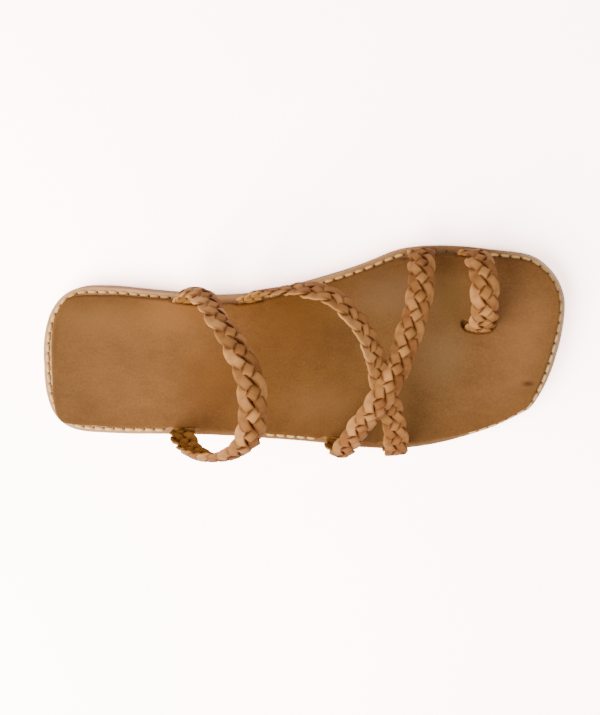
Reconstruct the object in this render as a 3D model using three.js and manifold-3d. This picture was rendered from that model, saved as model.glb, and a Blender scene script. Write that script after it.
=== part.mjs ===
// Slide sandal, right foot: a stacked leather sole, a soft footbed and three uppers of flat braid.
// Millimetres. +X to the toe, +Y to the medial (big toe) side, +Z up, origin under the middle of the sole.
import * as THREE from "three";
import { mergeVertices } from "three/addons/utils/BufferGeometryUtils.js";
import Module from "manifold-3d";

const wasm = await Module();
wasm.setup();
const { Manifold, Mesh } = wasm;

// Sole outline

const LENGTH = 256;
const HALF_LENGTH = LENGTH / 2;

// Straight-run edges at each section: distance from the heel, edge to each side, rim left outside the footbed
const SECTIONS = [
  { along: 0, medial: 29.0, lateral: -42.5, rimMedial: 5.3, rimLateral: 5.3 },
  { along: 18, medial: 30.4, lateral: -42.8, rimMedial: 4.2, rimLateral: 4.4 },
  { along: 36, medial: 30.4, lateral: -43.6, rimMedial: 3.8, rimLateral: 3.9 },
  { along: 60, medial: 28.2, lateral: -43.8, rimMedial: 3.6, rimLateral: 3.7 },
  { along: 88, medial: 26.3, lateral: -44.2, rimMedial: 3.5, rimLateral: 2.8 },
  { along: 112, medial: 28.6, lateral: -45.8, rimMedial: 3.5, rimLateral: 3.2 },
  { along: 135, medial: 34.2, lateral: -47.5, rimMedial: 3.5, rimLateral: 3.2 },
  { along: 155, medial: 40.4, lateral: -49.8, rimMedial: 3.4, rimLateral: 3.2 },
  { along: 178, medial: 49.0, lateral: -50.4, rimMedial: 3.7, rimLateral: 3.0 },
  { along: 200, medial: 50.6, lateral: -46.9, rimMedial: 3.8, rimLateral: 2.5 },
  { along: 224, medial: 48.4, lateral: -38.8, rimMedial: 3.5, rimLateral: 1.9 },
  { along: 240, medial: 46.6, lateral: -30.4, rimMedial: 3.4, rimLateral: 2.2 },
  { along: 256, medial: 44.5, lateral: -21.5, rimMedial: 3.4, rimLateral: 3.6 },
];

// Both ends close on one point, through a corner at each side: its length and squareness, on the sole and
// on the footbed
const HEEL = {
  across: -10,
  medial: { sole: { length: 25, squareness: 2.5 }, bed: { length: 15, squareness: 2.7 } },
  lateral: { sole: { length: 25, squareness: 2.8 }, bed: { length: 10, squareness: 4.5 } },
};
const TOE = {
  across: 20,
  medial: { sole: { length: 22, squareness: 2.0 }, bed: { length: 19, squareness: 2.0 } },
  lateral: { sole: { length: 16, squareness: 1.8 }, bed: { length: 13, squareness: 1.45 } },
};
const HEEL_RIM = SECTIONS[0].rimMedial;
const TOE_RIM = SECTIONS[SECTIONS.length - 1].rimMedial;
const SIDES = {
  medial: { edge: "medial", rim: "rimMedial", outward: 1 },
  lateral: { edge: "lateral", rim: "rimLateral", outward: -1 },
};

// Layers, from the floor up

const LAYER_GAP = 0.3;
const TREAD = 2.2;
const OUTSOLE_BOTTOM = TREAD + LAYER_GAP;
const OUTSOLE_TOP = OUTSOLE_BOTTOM + 3.9;
const MIDSOLE_BOTTOM = OUTSOLE_TOP + LAYER_GAP;
const MIDSOLE_TOP = MIDSOLE_BOTTOM + 4.2;
const FOOTBED_BOTTOM = MIDSOLE_TOP + LAYER_GAP;
const FOOTBED_TOP = FOOTBED_BOTTOM + 3.2;
const TOE_SPRING = { from: 172, rise: 2.2 };
const HEEL_LIFT = { flatTo: 73, end: 85 };
const HALF_SOLE = { end: 135, flatFrom: 142 };
const SKIVED_EDGE = 0.4;
const STATIONS = 52;
const STATION_CLEAR = 0.05;

// The footbed curls up at both ends and over each strap tail
const HEEL_CURL = { reach: 24, rise: 2.0 };
const TOE_CURL = { reach: 24, rise: 1.2 };
const TAIL_SWELL = { spread: 17, reach: 26 };
const FOOTBED_COLUMNS = [0, 0.05, 0.16, 0.32, 0.68, 0.84, 0.95, 1];
const FOOTBED_EDGE_ROUND = 0.9;

// Straps: flat braids of four strands

const BRAID = { pinch: 0.14, valley: 0.85, crest: 1.75, column: 0.5, step: 4.1, inset: 0.72 };
const TAIL = { run: 13.0, rings: 9, reach: 15, rise: 1.3, half: 0.95, level: 2.4, gap: 0.3 };
const LEG = { inset: 2.2, bend: 2.6, bendMiddle: 0.29, foot: 3.4, gap: 0.45 };
const ROOM = { floor: 6, ceiling: 30, tailFrom: 1, legFrom: -3, endGap: 0.4 };

// Half the width of each strap, and rows along its middle line, medial side first; face turns from medial
// (0) over up (90) to lateral (180), tilt leans that face to the toe, both in degrees
const BACK_STRAP = {
  half: 6.4,
  medialBase: { along: 73.6, swell: 2.4 },
  lateralBase: { along: 69.5, swell: 2.2 },
  rows: [
    { x: -50.0, y: 30.5, z: 32, face: 6, tilt: 0 },
    { x: -41.8, y: 30.2, z: 49, face: 20, tilt: 6 },
    { x: -33.2, y: 22.6, z: 65, face: 42, tilt: 33 },
    { x: -24.0, y: 11.2, z: 77, face: 64, tilt: 25 },
    { x: -17.9, y: -3.0, z: 84, face: 82, tilt: 18 },
    { x: -17.5, y: -15.0, z: 84.5, face: 98, tilt: 13 },
    { x: -19.5, y: -27.0, z: 80.5, face: 118, tilt: 12 },
    { x: -26.5, y: -36.2, z: 71, face: 158, tilt: 9 },
    { x: -37.0, y: -42.0, z: 58, face: 163, tilt: 4 },
    { x: -47.0, y: -45.4, z: 43, face: 164, tilt: 0 },
    { x: -55.0, y: -45.0, z: 27, face: 182, tilt: 0 },
  ],
};
const REAR_CROSS = {
  half: 5.8,
  medialBase: { along: 103.6, swell: 2.4 },
  lateralBase: { along: 174.5, swell: 1.4 },
  rows: [
    { x: -18.0, y: 29.3, z: 30, face: 10, tilt: 0 },
    { x: -9.3, y: 31.5, z: 46, face: 22, tilt: 0 },
    { x: 1.4, y: 33.4, z: 57, face: 34, tilt: 12 },
    { x: 14.0, y: 30.8, z: 62.5, face: 52, tilt: 42 },
    { x: 22.6, y: 23.4, z: 62, face: 68, tilt: 55 },
    { x: 29.2, y: 14.2, z: 58.5, face: 80, tilt: 52 },
    { x: 33.6, y: 3.5, z: 53, face: 90, tilt: 42 },
    { x: 37.0, y: -8.0, z: 47.5, face: 98, tilt: 26 },
    { x: 41.2, y: -20.4, z: 42, face: 108, tilt: 18 },
    { x: 44.9, y: -34.2, z: 35.8, face: 126, tilt: 14 },
    { x: 46.4, y: -47.4, z: 27.5, face: 156, tilt: 8 },
  ],
};
const FRONT_CROSS = {
  half: 6.3,
  medialBase: { along: 185.4, swell: 1.0 },
  lateralBase: { along: 146.4, swell: 1.4 },
  rows: [
    { x: 57.0, y: 48.2, z: 22, face: 8, tilt: 0 },
    { x: 55.9, y: 44.0, z: 31, face: 38, tilt: 0 },
    { x: 55.2, y: 36.0, z: 38.5, face: 66, tilt: 2 },
    { x: 53.5, y: 24.8, z: 42, face: 82, tilt: 5 },
    { x: 50.3, y: 14.2, z: 44, face: 86, tilt: 6 },
    { x: 46.0, y: 2.0, z: 47, face: 88, tilt: 6 },
    { x: 41.0, y: -9.3, z: 50, face: 92, tilt: 8 },
    { x: 36.0, y: -18.5, z: 50, face: 102, tilt: 8 },
    { x: 29.5, y: -30.0, z: 43, face: 122, tilt: 5 },
    { x: 23.2, y: -42.4, z: 34, face: 146, tilt: 0 },
    { x: 20.2, y: -49.6, z: 25, face: 172, tilt: 0 },
  ],
};
const TOE_LOOP = {
  half: 6.7,
  medialBase: { along: 210.3, swell: 1.0 },
  rows: [
    { x: 82.5, y: 47.6, z: 23, face: 8, tilt: 0 },
    { x: 82.6, y: 43.5, z: 33, face: 40, tilt: 0 },
    { x: 83.4, y: 35.5, z: 39.5, face: 75, tilt: 4 },
    { x: 83.9, y: 26.5, z: 39.5, face: 105, tilt: 6 },
    { x: 85.2, y: 18.0, z: 33, face: 145, tilt: 6 },
    { x: 86.4, y: 12.5, z: 23, face: 172, tilt: 4 },
  ],
};
const TOE_SLOT = { x: 86.8, y: 11.0, length: 16.3, width: 5.4, behind: 0.45 };
const SPLINE_STEPS = 24;

const radians = (degrees) => (degrees * Math.PI) / 180;

// A smooth curve through one column of the sections
function sectionValue(column, along) {
  const last = SECTIONS.length - 1;
  let index = 0;
  while (index < last - 1 && along > SECTIONS[index + 1].along) index += 1;
  const slope = (at) => {
    const before = SECTIONS[Math.max(at - 1, 0)];
    const after = SECTIONS[Math.min(at + 1, last)];
    return (after[column] - before[column]) / (after.along - before.along);
  };
  const start = SECTIONS[index];
  const end = SECTIONS[index + 1];
  const span = end.along - start.along;
  const t = (along - start.along) / span;
  const rise = 3 * t * t - 2 * t * t * t;
  const leave = t * (1 - t) * (1 - t) * span * slope(index);
  const arrive = -t * t * (1 - t) * span * slope(index + 1);
  return start[column] + (end[column] - start[column]) * rise + leave + arrive;
}

// Share of the full half-breadth at a distance from a rounded end
function cornerShare(distance, { length, squareness }) {
  const t = Math.min(Math.max(distance / length, 0), 1);
  return Math.pow(1 - Math.pow(1 - t, squareness), 1 / squareness);
}

// Edge of the sole, or of the footbed, which is drawn in by the rim
function edgeAt(side, along, layer) {
  const { edge, rim, outward } = SIDES[side];
  const inset = layer === "bed" ? 1 : 0;
  const straight = sectionValue(edge, along) - outward * inset * sectionValue(rim, along);
  const heelShare = cornerShare(along - inset * HEEL_RIM, HEEL[side][layer]);
  const toeShare = cornerShare(LENGTH - inset * TOE_RIM - along, TOE[side][layer]);
  const heelSide = HEEL.across + (straight - HEEL.across) * heelShare;
  return TOE.across + (heelSide - TOE.across) * toeShare;
}

function springAt(along) {
  const t = Math.max(0, (along - TOE_SPRING.from) / (LENGTH - TOE_SPRING.from));
  return TOE_SPRING.rise * t * t;
}

// Stations crowd towards both ends, where the outline turns
function stationsBetween(from, to, breaks) {
  const all = [from, to, ...breaks];
  for (let index = 1; index < STATIONS; index += 1) {
    const along = HALF_LENGTH * (1 - Math.cos((Math.PI * index) / STATIONS));
    if (along > from + STATION_CLEAR && along < to - STATION_CLEAR) all.push(along);
  }
  return all.sort((a, b) => a - b);
}

// Joins equal corners and drops faces that have closed up
function weld(points, faces) {
  const places = new Map();
  const kept = [];
  const lookup = points.map((point) => {
    const key = point.map((value) => Math.round(value * 1e4)).join(" ");
    if (!places.has(key)) {
      places.set(key, kept.length);
      kept.push(point);
    }
    return places.get(key);
  });
  const joined = faces.map((face) => face.map((corner) => lookup[corner]));
  const open = joined.filter(([a, b, c]) => a !== b && b !== c && c !== a);
  return { points: kept, faces: open };
}

function toManifold({ points, faces }) {
  const mesh = new Mesh({
    numProp: 3,
    vertProperties: Float32Array.from(points.flat()),
    triVerts: Uint32Array.from(faces.flat()),
  });
  return new Manifold(mesh);
}

function boxBody(size, middle) {
  const geometry = new THREE.BoxGeometry(...size).translate(...middle);
  geometry.deleteAttribute("normal");
  geometry.deleteAttribute("uv");
  const merged = mergeVertices(geometry);
  const mesh = new Mesh({
    numProp: 3,
    vertProperties: merged.getAttribute("position").array,
    triVerts: Uint32Array.from(merged.getIndex().array),
  });
  return new Manifold(mesh);
}

// A body between a top and a bottom grid of points, rows along the length and columns across it
function slab(top, bottom) {
  const rows = top.length;
  const columns = top[0].length;
  const points = [...top.flat(), ...bottom.flat()];
  const upper = (row, column) => row * columns + column;
  const lower = (row, column) => rows * columns + row * columns + column;
  const faces = [];
  const quad = (a, b, c, d) => faces.push([a, b, c], [a, c, d]);
  for (let row = 0; row < rows - 1; row += 1) {
    for (let column = 0; column < columns - 1; column += 1) {
      quad(upper(row, column), upper(row, column + 1), upper(row + 1, column + 1), upper(row + 1, column));
      quad(lower(row, column), lower(row + 1, column), lower(row + 1, column + 1), lower(row, column + 1));
    }
    quad(upper(row, 0), upper(row + 1, 0), lower(row + 1, 0), lower(row, 0));
    const end = columns - 1;
    quad(upper(row + 1, end), upper(row, end), lower(row, end), lower(row + 1, end));
  }
  for (let column = 0; column < columns - 1; column += 1) {
    const end = rows - 1;
    quad(upper(0, column + 1), upper(0, column), lower(0, column), lower(0, column + 1));
    quad(upper(end, column), upper(end, column + 1), lower(end, column + 1), lower(end, column));
  }
  return weld(points, faces);
}

// One flat layer of the sole; columns run from the lateral edge to the medial edge
function soleLayer(from, to, breaks, bottomAt, topAt) {
  const stations = stationsBetween(from, to, breaks);
  const row = (along, height) => {
    const z = height + springAt(along);
    return [
      [along - HALF_LENGTH, edgeAt("medial", along, "sole"), z],
      [along - HALF_LENGTH, edgeAt("lateral", along, "sole"), z],
    ];
  };
  const top = stations.map((along) => row(along, topAt(along)));
  const bottom = stations.map((along) => row(along, bottomAt(along)));
  return slab(top, bottom);
}

// Footbed

const SWELLS = [
  { side: "medial", half: BACK_STRAP.half, ...BACK_STRAP.medialBase },
  { side: "lateral", half: BACK_STRAP.half, ...BACK_STRAP.lateralBase },
  { side: "medial", half: REAR_CROSS.half, ...REAR_CROSS.medialBase },
  { side: "lateral", half: REAR_CROSS.half, ...REAR_CROSS.lateralBase },
  { side: "medial", half: FRONT_CROSS.half, ...FRONT_CROSS.medialBase },
  { side: "lateral", half: FRONT_CROSS.half, ...FRONT_CROSS.lateralBase },
  { side: "medial", half: TOE_LOOP.half, ...TOE_LOOP.medialBase },
];

function footbedRise(along, across) {
  const ease = (distance, reach) => Math.pow(Math.max(0, 1 - distance / reach), 2);
  let rise = HEEL_CURL.rise * ease(along - HEEL_RIM, HEEL_CURL.reach);
  rise = Math.max(rise, TOE_CURL.rise * ease(LENGTH - TOE_RIM - along, TOE_CURL.reach));
  for (const { side, along: base, swell } of SWELLS) {
    const nearness = Math.exp(-Math.pow((along - base) / TAIL_SWELL.spread, 2));
    const inside = Math.abs(edgeAt(side, along, "bed") - across);
    rise = Math.max(rise, swell * nearness * ease(inside, TAIL_SWELL.reach));
  }
  return rise;
}

function footbedBody() {
  const start = HEEL_RIM;
  const span = LENGTH - TOE_RIM - start;
  const stations = Array.from({ length: STATIONS + 1 }, (_, index) => (
    start + (span / 2) * (1 - Math.cos((Math.PI * index) / STATIONS))));
  const row = (along, height, edgeDrop) => FOOTBED_COLUMNS.map((share, column) => {
    const medial = edgeAt("medial", along, "bed");
    const lateral = edgeAt("lateral", along, "bed");
    const across = medial + (lateral - medial) * share;
    const atEdge = column === 0 || column === FOOTBED_COLUMNS.length - 1;
    const z = height + springAt(along) + footbedRise(along, across) - (atEdge ? edgeDrop : 0);
    return [along - HALF_LENGTH, across, z];
  });
  const top = stations.map((along) => row(along, FOOTBED_TOP, FOOTBED_EDGE_ROUND));
  const bottom = stations.map((along) => row(along, FOOTBED_BOTTOM, 0));
  return toManifold(slab(top, bottom));
}

// Strap middle lines

// From the tail under the footbed, over the rim and up the leg, on one side of the sole
function tailRows(base, side) {
  const { outward } = SIDES[side];
  const edge = edgeAt(side, base.along, "sole");
  const x = base.along - HALF_LENGTH;
  const rest = MIDSOLE_TOP + springAt(base.along) + TAIL.rise;
  const middle = LEG.bend * LEG.bendMiddle;
  const turn = (angle) => (outward > 0 ? -angle : 180 + angle);
  const at = (inside, z, angle) => ({ x, y: edge - outward * inside, z, face: turn(angle), tilt: 0 });
  return [
    at(TAIL.reach, rest, 90),
    at(LEG.inset + LEG.bend + TAIL.level, rest, 90),
    at(LEG.inset + LEG.bend, rest, 86),
    at(LEG.inset + middle, rest + middle, 45),
    at(LEG.inset, rest + LEG.bend, 4),
    at(LEG.inset, rest + LEG.bend + LEG.foot, 0),
  ];
}

// From the toe loop's inner leg, down the slot and on under the footbed
function slotRows() {
  const { x, y } = TOE_SLOT;
  const rest = MIDSOLE_TOP + springAt(x + HALF_LENGTH) + TAIL.rise;
  const middle = LEG.bend * LEG.bendMiddle;
  return [
    { x, y, z: rest + LEG.bend + LEG.foot, face: 178, tilt: 0 },
    { x, y, z: rest + LEG.bend, face: 176, tilt: 0 },
    { x, y: y - middle, z: rest + middle, face: 135, tilt: 0 },
    { x, y: y - LEG.bend, z: rest, face: 94, tilt: 0 },
    { x, y: y - LEG.bend - TAIL.level, z: rest, face: 90, tilt: 0 },
    { x, y: y - TAIL.reach + LEG.inset, z: rest, face: 90, tilt: 0 },
  ];
}

function strapRows(strap) {
  const start = tailRows(strap.medialBase, "medial");
  const end = strap.lateralBase ? tailRows(strap.lateralBase, "lateral").reverse() : slotRows();
  return [...start, ...strap.rows, ...end];
}

// A smooth line through the rows, with its frame: run along it, width across it, normal out of its face
function strapLine(rows) {
  const knots = rows.map(({ x, y, z }) => new THREE.Vector3(x, y, z));
  const curve = new THREE.CatmullRomCurve3(knots, false, "centripetal");
  const steps = (rows.length - 1) * SPLINE_STEPS;
  const points = [];
  const turns = [];
  for (let step = 0; step <= steps; step += 1) {
    const place = step / SPLINE_STEPS;
    const row = Math.min(Math.floor(place), rows.length - 2);
    const share = place - row;
    const ease = share * share * (3 - 2 * share);
    points.push(curve.getPoint(step / steps));
    turns.push({
      face: rows[row].face + (rows[row + 1].face - rows[row].face) * ease,
      tilt: rows[row].tilt + (rows[row + 1].tilt - rows[row].tilt) * ease,
    });
  }
  const lengths = [0];
  for (let step = 1; step <= steps; step += 1) {
    lengths.push(lengths[step - 1] + points[step].distanceTo(points[step - 1]));
  }
  const frameAt = (run) => {
    let step = 0;
    while (step < steps - 1 && lengths[step + 1] < run) step += 1;
    const share = (run - lengths[step]) / (lengths[step + 1] - lengths[step]);
    const point = points[step].clone().lerp(points[step + 1], share);
    const before = points[Math.max(step - 1, 0)];
    const after = points[Math.min(step + 2, steps)];
    const along = after.clone().sub(before).normalize();
    const face = radians(turns[step].face + (turns[step + 1].face - turns[step].face) * share);
    const tilt = radians(turns[step].tilt + (turns[step + 1].tilt - turns[step].tilt) * share);
    const normal = new THREE.Vector3(
      Math.sin(tilt), Math.cos(tilt) * Math.cos(face), Math.cos(tilt) * Math.sin(face));
    normal.addScaledVector(along, -normal.dot(along)).normalize();
    const width = normal.clone().cross(along);
    return { point, normal, width };
  };
  const placeAt = (run, across, out) => {
    const { point, normal, width } = frameAt(run);
    return point.addScaledVector(width, across).addScaledVector(normal, out).toArray();
  };
  return { length: lengths[steps], placeAt };
}

// The cells of one braid face as lattice corners: step along the strap, column across it
function braidCells(steps) {
  const cells = [];
  cells.push([[0, -1], [1, 0], [0, 1], [0, 0]]);
  for (let step = 2; step <= steps - 2; step += 2) {
    cells.push([[step - 1, 0], [step, -1], [step + 1, 0], [step, 1]]);
  }
  cells.push([[steps - 1, 0], [steps, -1], [steps, 0], [steps, 1]]);
  cells.push([[0, -2], [0, -1], [1, 0], [2, -1], [1, -2]]);
  for (let step = 3; step <= steps - 1; step += 2) {
    cells.push([[step - 1, -1], [step, 0], [step + 1, -1], [step, -2], [step - 1, -2], [step - 2, -2]]);
  }
  cells.push([[steps - 1, -2], [steps, -1], [steps, -2]]);
  cells.push([[0, 1], [1, 2], [0, 2]]);
  for (let step = 1; step <= steps - 3; step += 2) {
    cells.push([[step + 1, 1], [step + 2, 2], [step + 1, 2], [step, 2], [step - 1, 1], [step, 0]]);
  }
  cells.push([[steps - 2, 1], [steps - 1, 0], [steps, 1], [steps, 2], [steps - 1, 2]]);
  return cells;
}

function signedArea(corners) {
  let area = 0;
  corners.forEach(([x, y], index) => {
    const [nextX, nextY] = corners[(index + 1) % corners.length];
    area += x * nextY - nextX * y;
  });
  return area;
}

// One braided strap: raised cells on both faces of a thin wall, with flat tails at both ends
function strapBody(line, half) {
  const woven = line.length - 2 * TAIL.run;
  const steps = 2 * Math.round(woven / BRAID.step / 2);
  const step = woven / steps;
  const points = [];
  const faces = [];
  const add = (run, across, out) => points.push(line.placeAt(run, across, out)) - 1;
  const acrossAt = (index, column) => {
    if (Math.abs(column) < 2) return column * BRAID.column * half;
    const bulged = index % 2 === 0;
    return Math.sign(column) * half * (1 - (bulged ? 0 : BRAID.pinch));
  };
  const lattice = new Map();
  const corner = (index, column, face) => {
    const side = Math.abs(column) === 2 ? 0 : face;
    const key = `${index} ${column} ${side}`;
    if (!lattice.has(key)) {
      lattice.set(key, add(TAIL.run + index * step, acrossAt(index, column), side * BRAID.valley));
    }
    return lattice.get(key);
  };
  for (const face of [1, -1]) {
    for (const cell of braidCells(steps)) {
      const flat = cell.map(([index, column]) => [index, column * face]);
      const facing = signedArea(flat) * face > 0 ? flat : [flat[0], ...flat.slice(1).reverse()];
      const spots = facing.map(([index, column]) => [TAIL.run + index * step, acrossAt(index, column)]);
      const middle = [0, 1].map((axis) => spots.reduce((sum, spot) => sum + spot[axis], 0) / spots.length);
      const rim = spots.map((spot) => add(
        middle[0] + (spot[0] - middle[0]) * BRAID.inset,
        middle[1] + (spot[1] - middle[1]) * BRAID.inset,
        face * BRAID.crest));
      facing.forEach(([index, column], at) => {
        const next = (at + 1) % facing.length;
        const a = corner(index, column, face);
        const b = corner(facing[next][0], facing[next][1], face);
        faces.push([a, b, rim[next]], [a, rim[next], rim[at]]);
      });
      for (let at = 1; at < rim.length - 1; at += 1) faces.push([rim[0], rim[at], rim[at + 1]]);
    }
  }
  // Tails: the end row runs on as a flat ring of eight corners
  const ringOrder = [[-2, 0], [-1, 1], [0, 1], [1, 1], [2, 0], [1, -1], [0, -1], [-1, -1]];
  for (const atStart of [true, false]) {
    const endIndex = atStart ? 0 : steps;
    let previous = ringOrder.map(([column, side]) => corner(endIndex, column, side));
    const link = (a, b, c) => faces.push(atStart ? [a, c, b] : [a, b, c]);
    for (let ring = 1; ring <= TAIL.rings; ring += 1) {
      const run = TAIL.run * (1 - ring / TAIL.rings);
      const place = atStart ? run : line.length - run;
      const next = ringOrder.map(([column, side]) => add(place, acrossAt(0, column), side * TAIL.half));
      ringOrder.forEach((_, at) => {
        const after = (at + 1) % ringOrder.length;
        link(previous[at], next[at], previous[after]);
        link(previous[after], next[at], next[after]);
      });
      previous = next;
    }
    for (let at = 1; at < ringOrder.length - 1; at += 1) link(previous[0], previous[at + 1], previous[at]);
  }
  return toManifold({ points, faces });
}

// Room in the footbed's underside for a tail, and in its edge for the leg above it
function tailRoom(base, side) {
  const { outward } = SIDES[side];
  const edge = edgeAt(side, base.along, "sole");
  const tailTop = MIDSOLE_TOP + springAt(base.along) + TAIL.rise + TAIL.half + TAIL.gap;
  const legInside = LEG.inset + BRAID.crest + LEG.gap;
  const width = 2 * (base.half + TAIL.gap);
  const box = (from, to, top) => boxBody(
    [width, to - from, top - ROOM.floor],
    [base.along - HALF_LENGTH, edge - (outward * (from + to)) / 2, (top + ROOM.floor) / 2]);
  return [
    box(ROOM.tailFrom, TAIL.reach + ROOM.endGap, tailTop),
    box(ROOM.legFrom, legInside, ROOM.ceiling),
  ];
}

// The slot for the toe loop's inner leg, longer than the strap at its heel end, and the tail beyond it
function slotRoom() {
  const { x, y, length, width, behind } = TOE_SLOT;
  const tailTop = MIDSOLE_TOP + springAt(x + HALF_LENGTH) + TAIL.rise + TAIL.half + TAIL.gap;
  const reach = TAIL.reach - LEG.inset + ROOM.endGap;
  const slot = boxBody(
    [length, width, ROOM.ceiling - ROOM.floor],
    [x - behind, y, (ROOM.ceiling + ROOM.floor) / 2]);
  const tail = boxBody(
    [2 * (TOE_LOOP.half + TAIL.gap), reach, tailTop - ROOM.floor],
    [x, y - reach / 2, (tailTop + ROOM.floor) / 2]);
  return [slot, tail];
}

const backLine = strapLine(strapRows(BACK_STRAP));
const rearLine = strapLine(strapRows(REAR_CROSS));
const frontLine = strapLine(strapRows(FRONT_CROSS));
const toeLine = strapLine(strapRows(TOE_LOOP));

const backStrap = strapBody(backLine, BACK_STRAP.half);
const crossStraps = strapBody(rearLine, REAR_CROSS.half).add(strapBody(frontLine, FRONT_CROSS.half));
const toeLoop = strapBody(toeLine, TOE_LOOP.half);

const rooms = [
  ...SWELLS.flatMap((swell) => tailRoom(swell, swell.side)),
  ...slotRoom(),
];
const largestPiece = (body) => body.decompose().sort((a, b) => b.volume() - a.volume())[0];
const footbed = largestPiece(Manifold.difference([footbedBody(), ...rooms]));

const leather = (name, colour, roughness) => {
  const material = new THREE.MeshStandardMaterial({ color: colour, roughness, metalness: 0 });
  material.name = name;
  return material;
};
const STRAP_LEATHER = leather("strap_leather", 0xc08a52, 0.55);
const FOOTBED_LEATHER = leather("footbed_leather", 0x9a6630, 0.7);
const MIDSOLE_LEATHER = leather("midsole_leather", 0xe6d5b0, 0.75);
const OUTSOLE_LEATHER = leather("outsole_leather", 0xd8b090, 0.7);
const TREAD_LEATHER = leather("tread_leather", 0xcf9f7c, 0.7);

const sandal = new THREE.Group();
sandal.name = "slide_sandal";

function addMesh(name, points, faces, material) {
  const geometry = new THREE.BufferGeometry();
  geometry.setAttribute("position", new THREE.Float32BufferAttribute(points, 3));
  geometry.setIndex(faces);
  geometry.computeVertexNormals();
  const mesh = new THREE.Mesh(geometry, material);
  mesh.name = name;
  sandal.add(mesh);
}

function addLayer(name, body, material) {
  addMesh(name, body.points.flat(), body.faces.flat(), material);
}

function addBody(name, body, material) {
  const mesh = body.getMesh();
  const points = [];
  for (let corner = 0; corner < mesh.numVert; corner += 1) {
    for (let axis = 0; axis < 3; axis += 1) points.push(mesh.vertProperties[corner * mesh.numProp + axis]);
  }
  addMesh(name, points, Array.from(mesh.triVerts), material);
}

const skive = (share) => (TREAD - SKIVED_EDGE) * Math.min(Math.max(share, 0), 1);
const heelBottom = (along) => skive((along - HEEL_LIFT.flatTo) / (HEEL_LIFT.end - HEEL_LIFT.flatTo));
const halfBottom = (along) => skive((HALF_SOLE.flatFrom - along) / (HALF_SOLE.flatFrom - HALF_SOLE.end));
const level = (height) => () => height;

const heelLift = soleLayer(0, HEEL_LIFT.end, [HEEL_LIFT.flatTo], heelBottom, level(TREAD));
const halfSole = soleLayer(HALF_SOLE.end, LENGTH, [HALF_SOLE.flatFrom], halfBottom, level(TREAD));
const outsole = soleLayer(0, LENGTH, [], level(OUTSOLE_BOTTOM), level(OUTSOLE_TOP));
const midsole = soleLayer(0, LENGTH, [], level(MIDSOLE_BOTTOM), level(MIDSOLE_TOP));

addLayer("heel_lift", heelLift, TREAD_LEATHER);
addLayer("half_sole", halfSole, TREAD_LEATHER);
addLayer("outsole", outsole, OUTSOLE_LEATHER);
addLayer("midsole", midsole, MIDSOLE_LEATHER);
addBody("footbed", footbed, FOOTBED_LEATHER);
addBody("back_strap", backStrap, STRAP_LEATHER);
addBody("cross_straps", crossStraps, STRAP_LEATHER);
addBody("toe_loop", toeLoop, STRAP_LEATHER);

export default sandal;
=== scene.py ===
# %% [markdown]
# # A braided slide sandal
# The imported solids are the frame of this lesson: they fix where everything is and how large it is.
# On top of them come the surfaces that the eye reads: raw leather edges, a soft footbed, a row of
# hand stitches and four flat braids with real strands. All sizes below are in millimetres, as a
# sandal maker would note them, and are turned into metres when a mesh is made. A place along the sole
# counts from the heel, and a place across it is positive on the medial side.

import bmesh
import bpy
import numpy as np
from mathutils import Matrix


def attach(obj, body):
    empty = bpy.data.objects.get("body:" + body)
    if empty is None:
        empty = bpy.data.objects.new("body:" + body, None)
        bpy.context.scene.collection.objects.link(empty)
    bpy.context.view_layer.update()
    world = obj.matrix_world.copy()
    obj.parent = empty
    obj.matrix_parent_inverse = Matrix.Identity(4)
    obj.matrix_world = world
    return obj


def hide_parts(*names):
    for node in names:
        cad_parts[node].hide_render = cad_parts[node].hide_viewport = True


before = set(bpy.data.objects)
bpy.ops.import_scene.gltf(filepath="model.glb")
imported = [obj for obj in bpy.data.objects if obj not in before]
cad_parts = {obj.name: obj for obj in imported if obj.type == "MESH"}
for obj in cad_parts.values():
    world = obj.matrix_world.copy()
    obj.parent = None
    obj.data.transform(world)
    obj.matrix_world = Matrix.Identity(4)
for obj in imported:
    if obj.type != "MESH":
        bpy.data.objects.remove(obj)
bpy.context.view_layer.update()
MM = 0.001
BODY = "root"
print("solids:", sorted(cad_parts))

# %% [markdown]
# ## Camera
# The sandal was photographed from straight above, a little to its medial side, from about 40 cm.
# A camera at that same place sees the same perspective. It is turned to point at the middle of the
# shoe, and its lens is long enough for the shoe to fill the picture.

# %% Camera
CAMERA_PLACE = np.array([8.1, 60.8, 396.0])
CAMERA_AIM = np.array([0.0, -3.0, 18.0])
CAMERA_LENS = 47.5
SENSOR = 36.0
PICTURE_UP = np.array([0.0, 1.0, 0.0])


def looking_turn(place, aim, up):
    """Columns of a rotation that looks from a place to an aim: right, up and backwards, all square."""
    ahead = (aim - place) / np.linalg.norm(aim - place)
    right = np.cross(ahead, up)
    right = right / np.linalg.norm(right)
    return np.stack([right, np.cross(right, ahead), -ahead], axis=1)


def set_up(thing, place, aim, up):
    """Stands a camera or a lamp at a place, looking at an aim, and adds it to the scene."""
    turn = Matrix(looking_turn(place, aim, up).tolist())
    thing.matrix_world = Matrix.Translation(place * MM) @ turn.to_4x4()
    bpy.context.scene.collection.objects.link(thing)


camera_data = bpy.data.cameras.new("camera")
camera_data.sensor_fit = "HORIZONTAL"
camera_data.sensor_width = SENSOR
camera_data.lens = CAMERA_LENS
camera = bpy.data.objects.new("camera", camera_data)
set_up(camera, CAMERA_PLACE, CAMERA_AIM, PICTURE_UP)
bpy.context.scene.camera = camera
print("camera lens", CAMERA_LENS, "mm")

# %% [markdown]
# ## Light
# The picture is bright and nearly without shadow: a large soft window stands to the heel and lateral
# side, a weaker one to the toe, and a white room fills the rest. A photograph of a room could light
# the scene too, but two area lamps and an even sky give the same softness with a few plain numbers.

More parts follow.
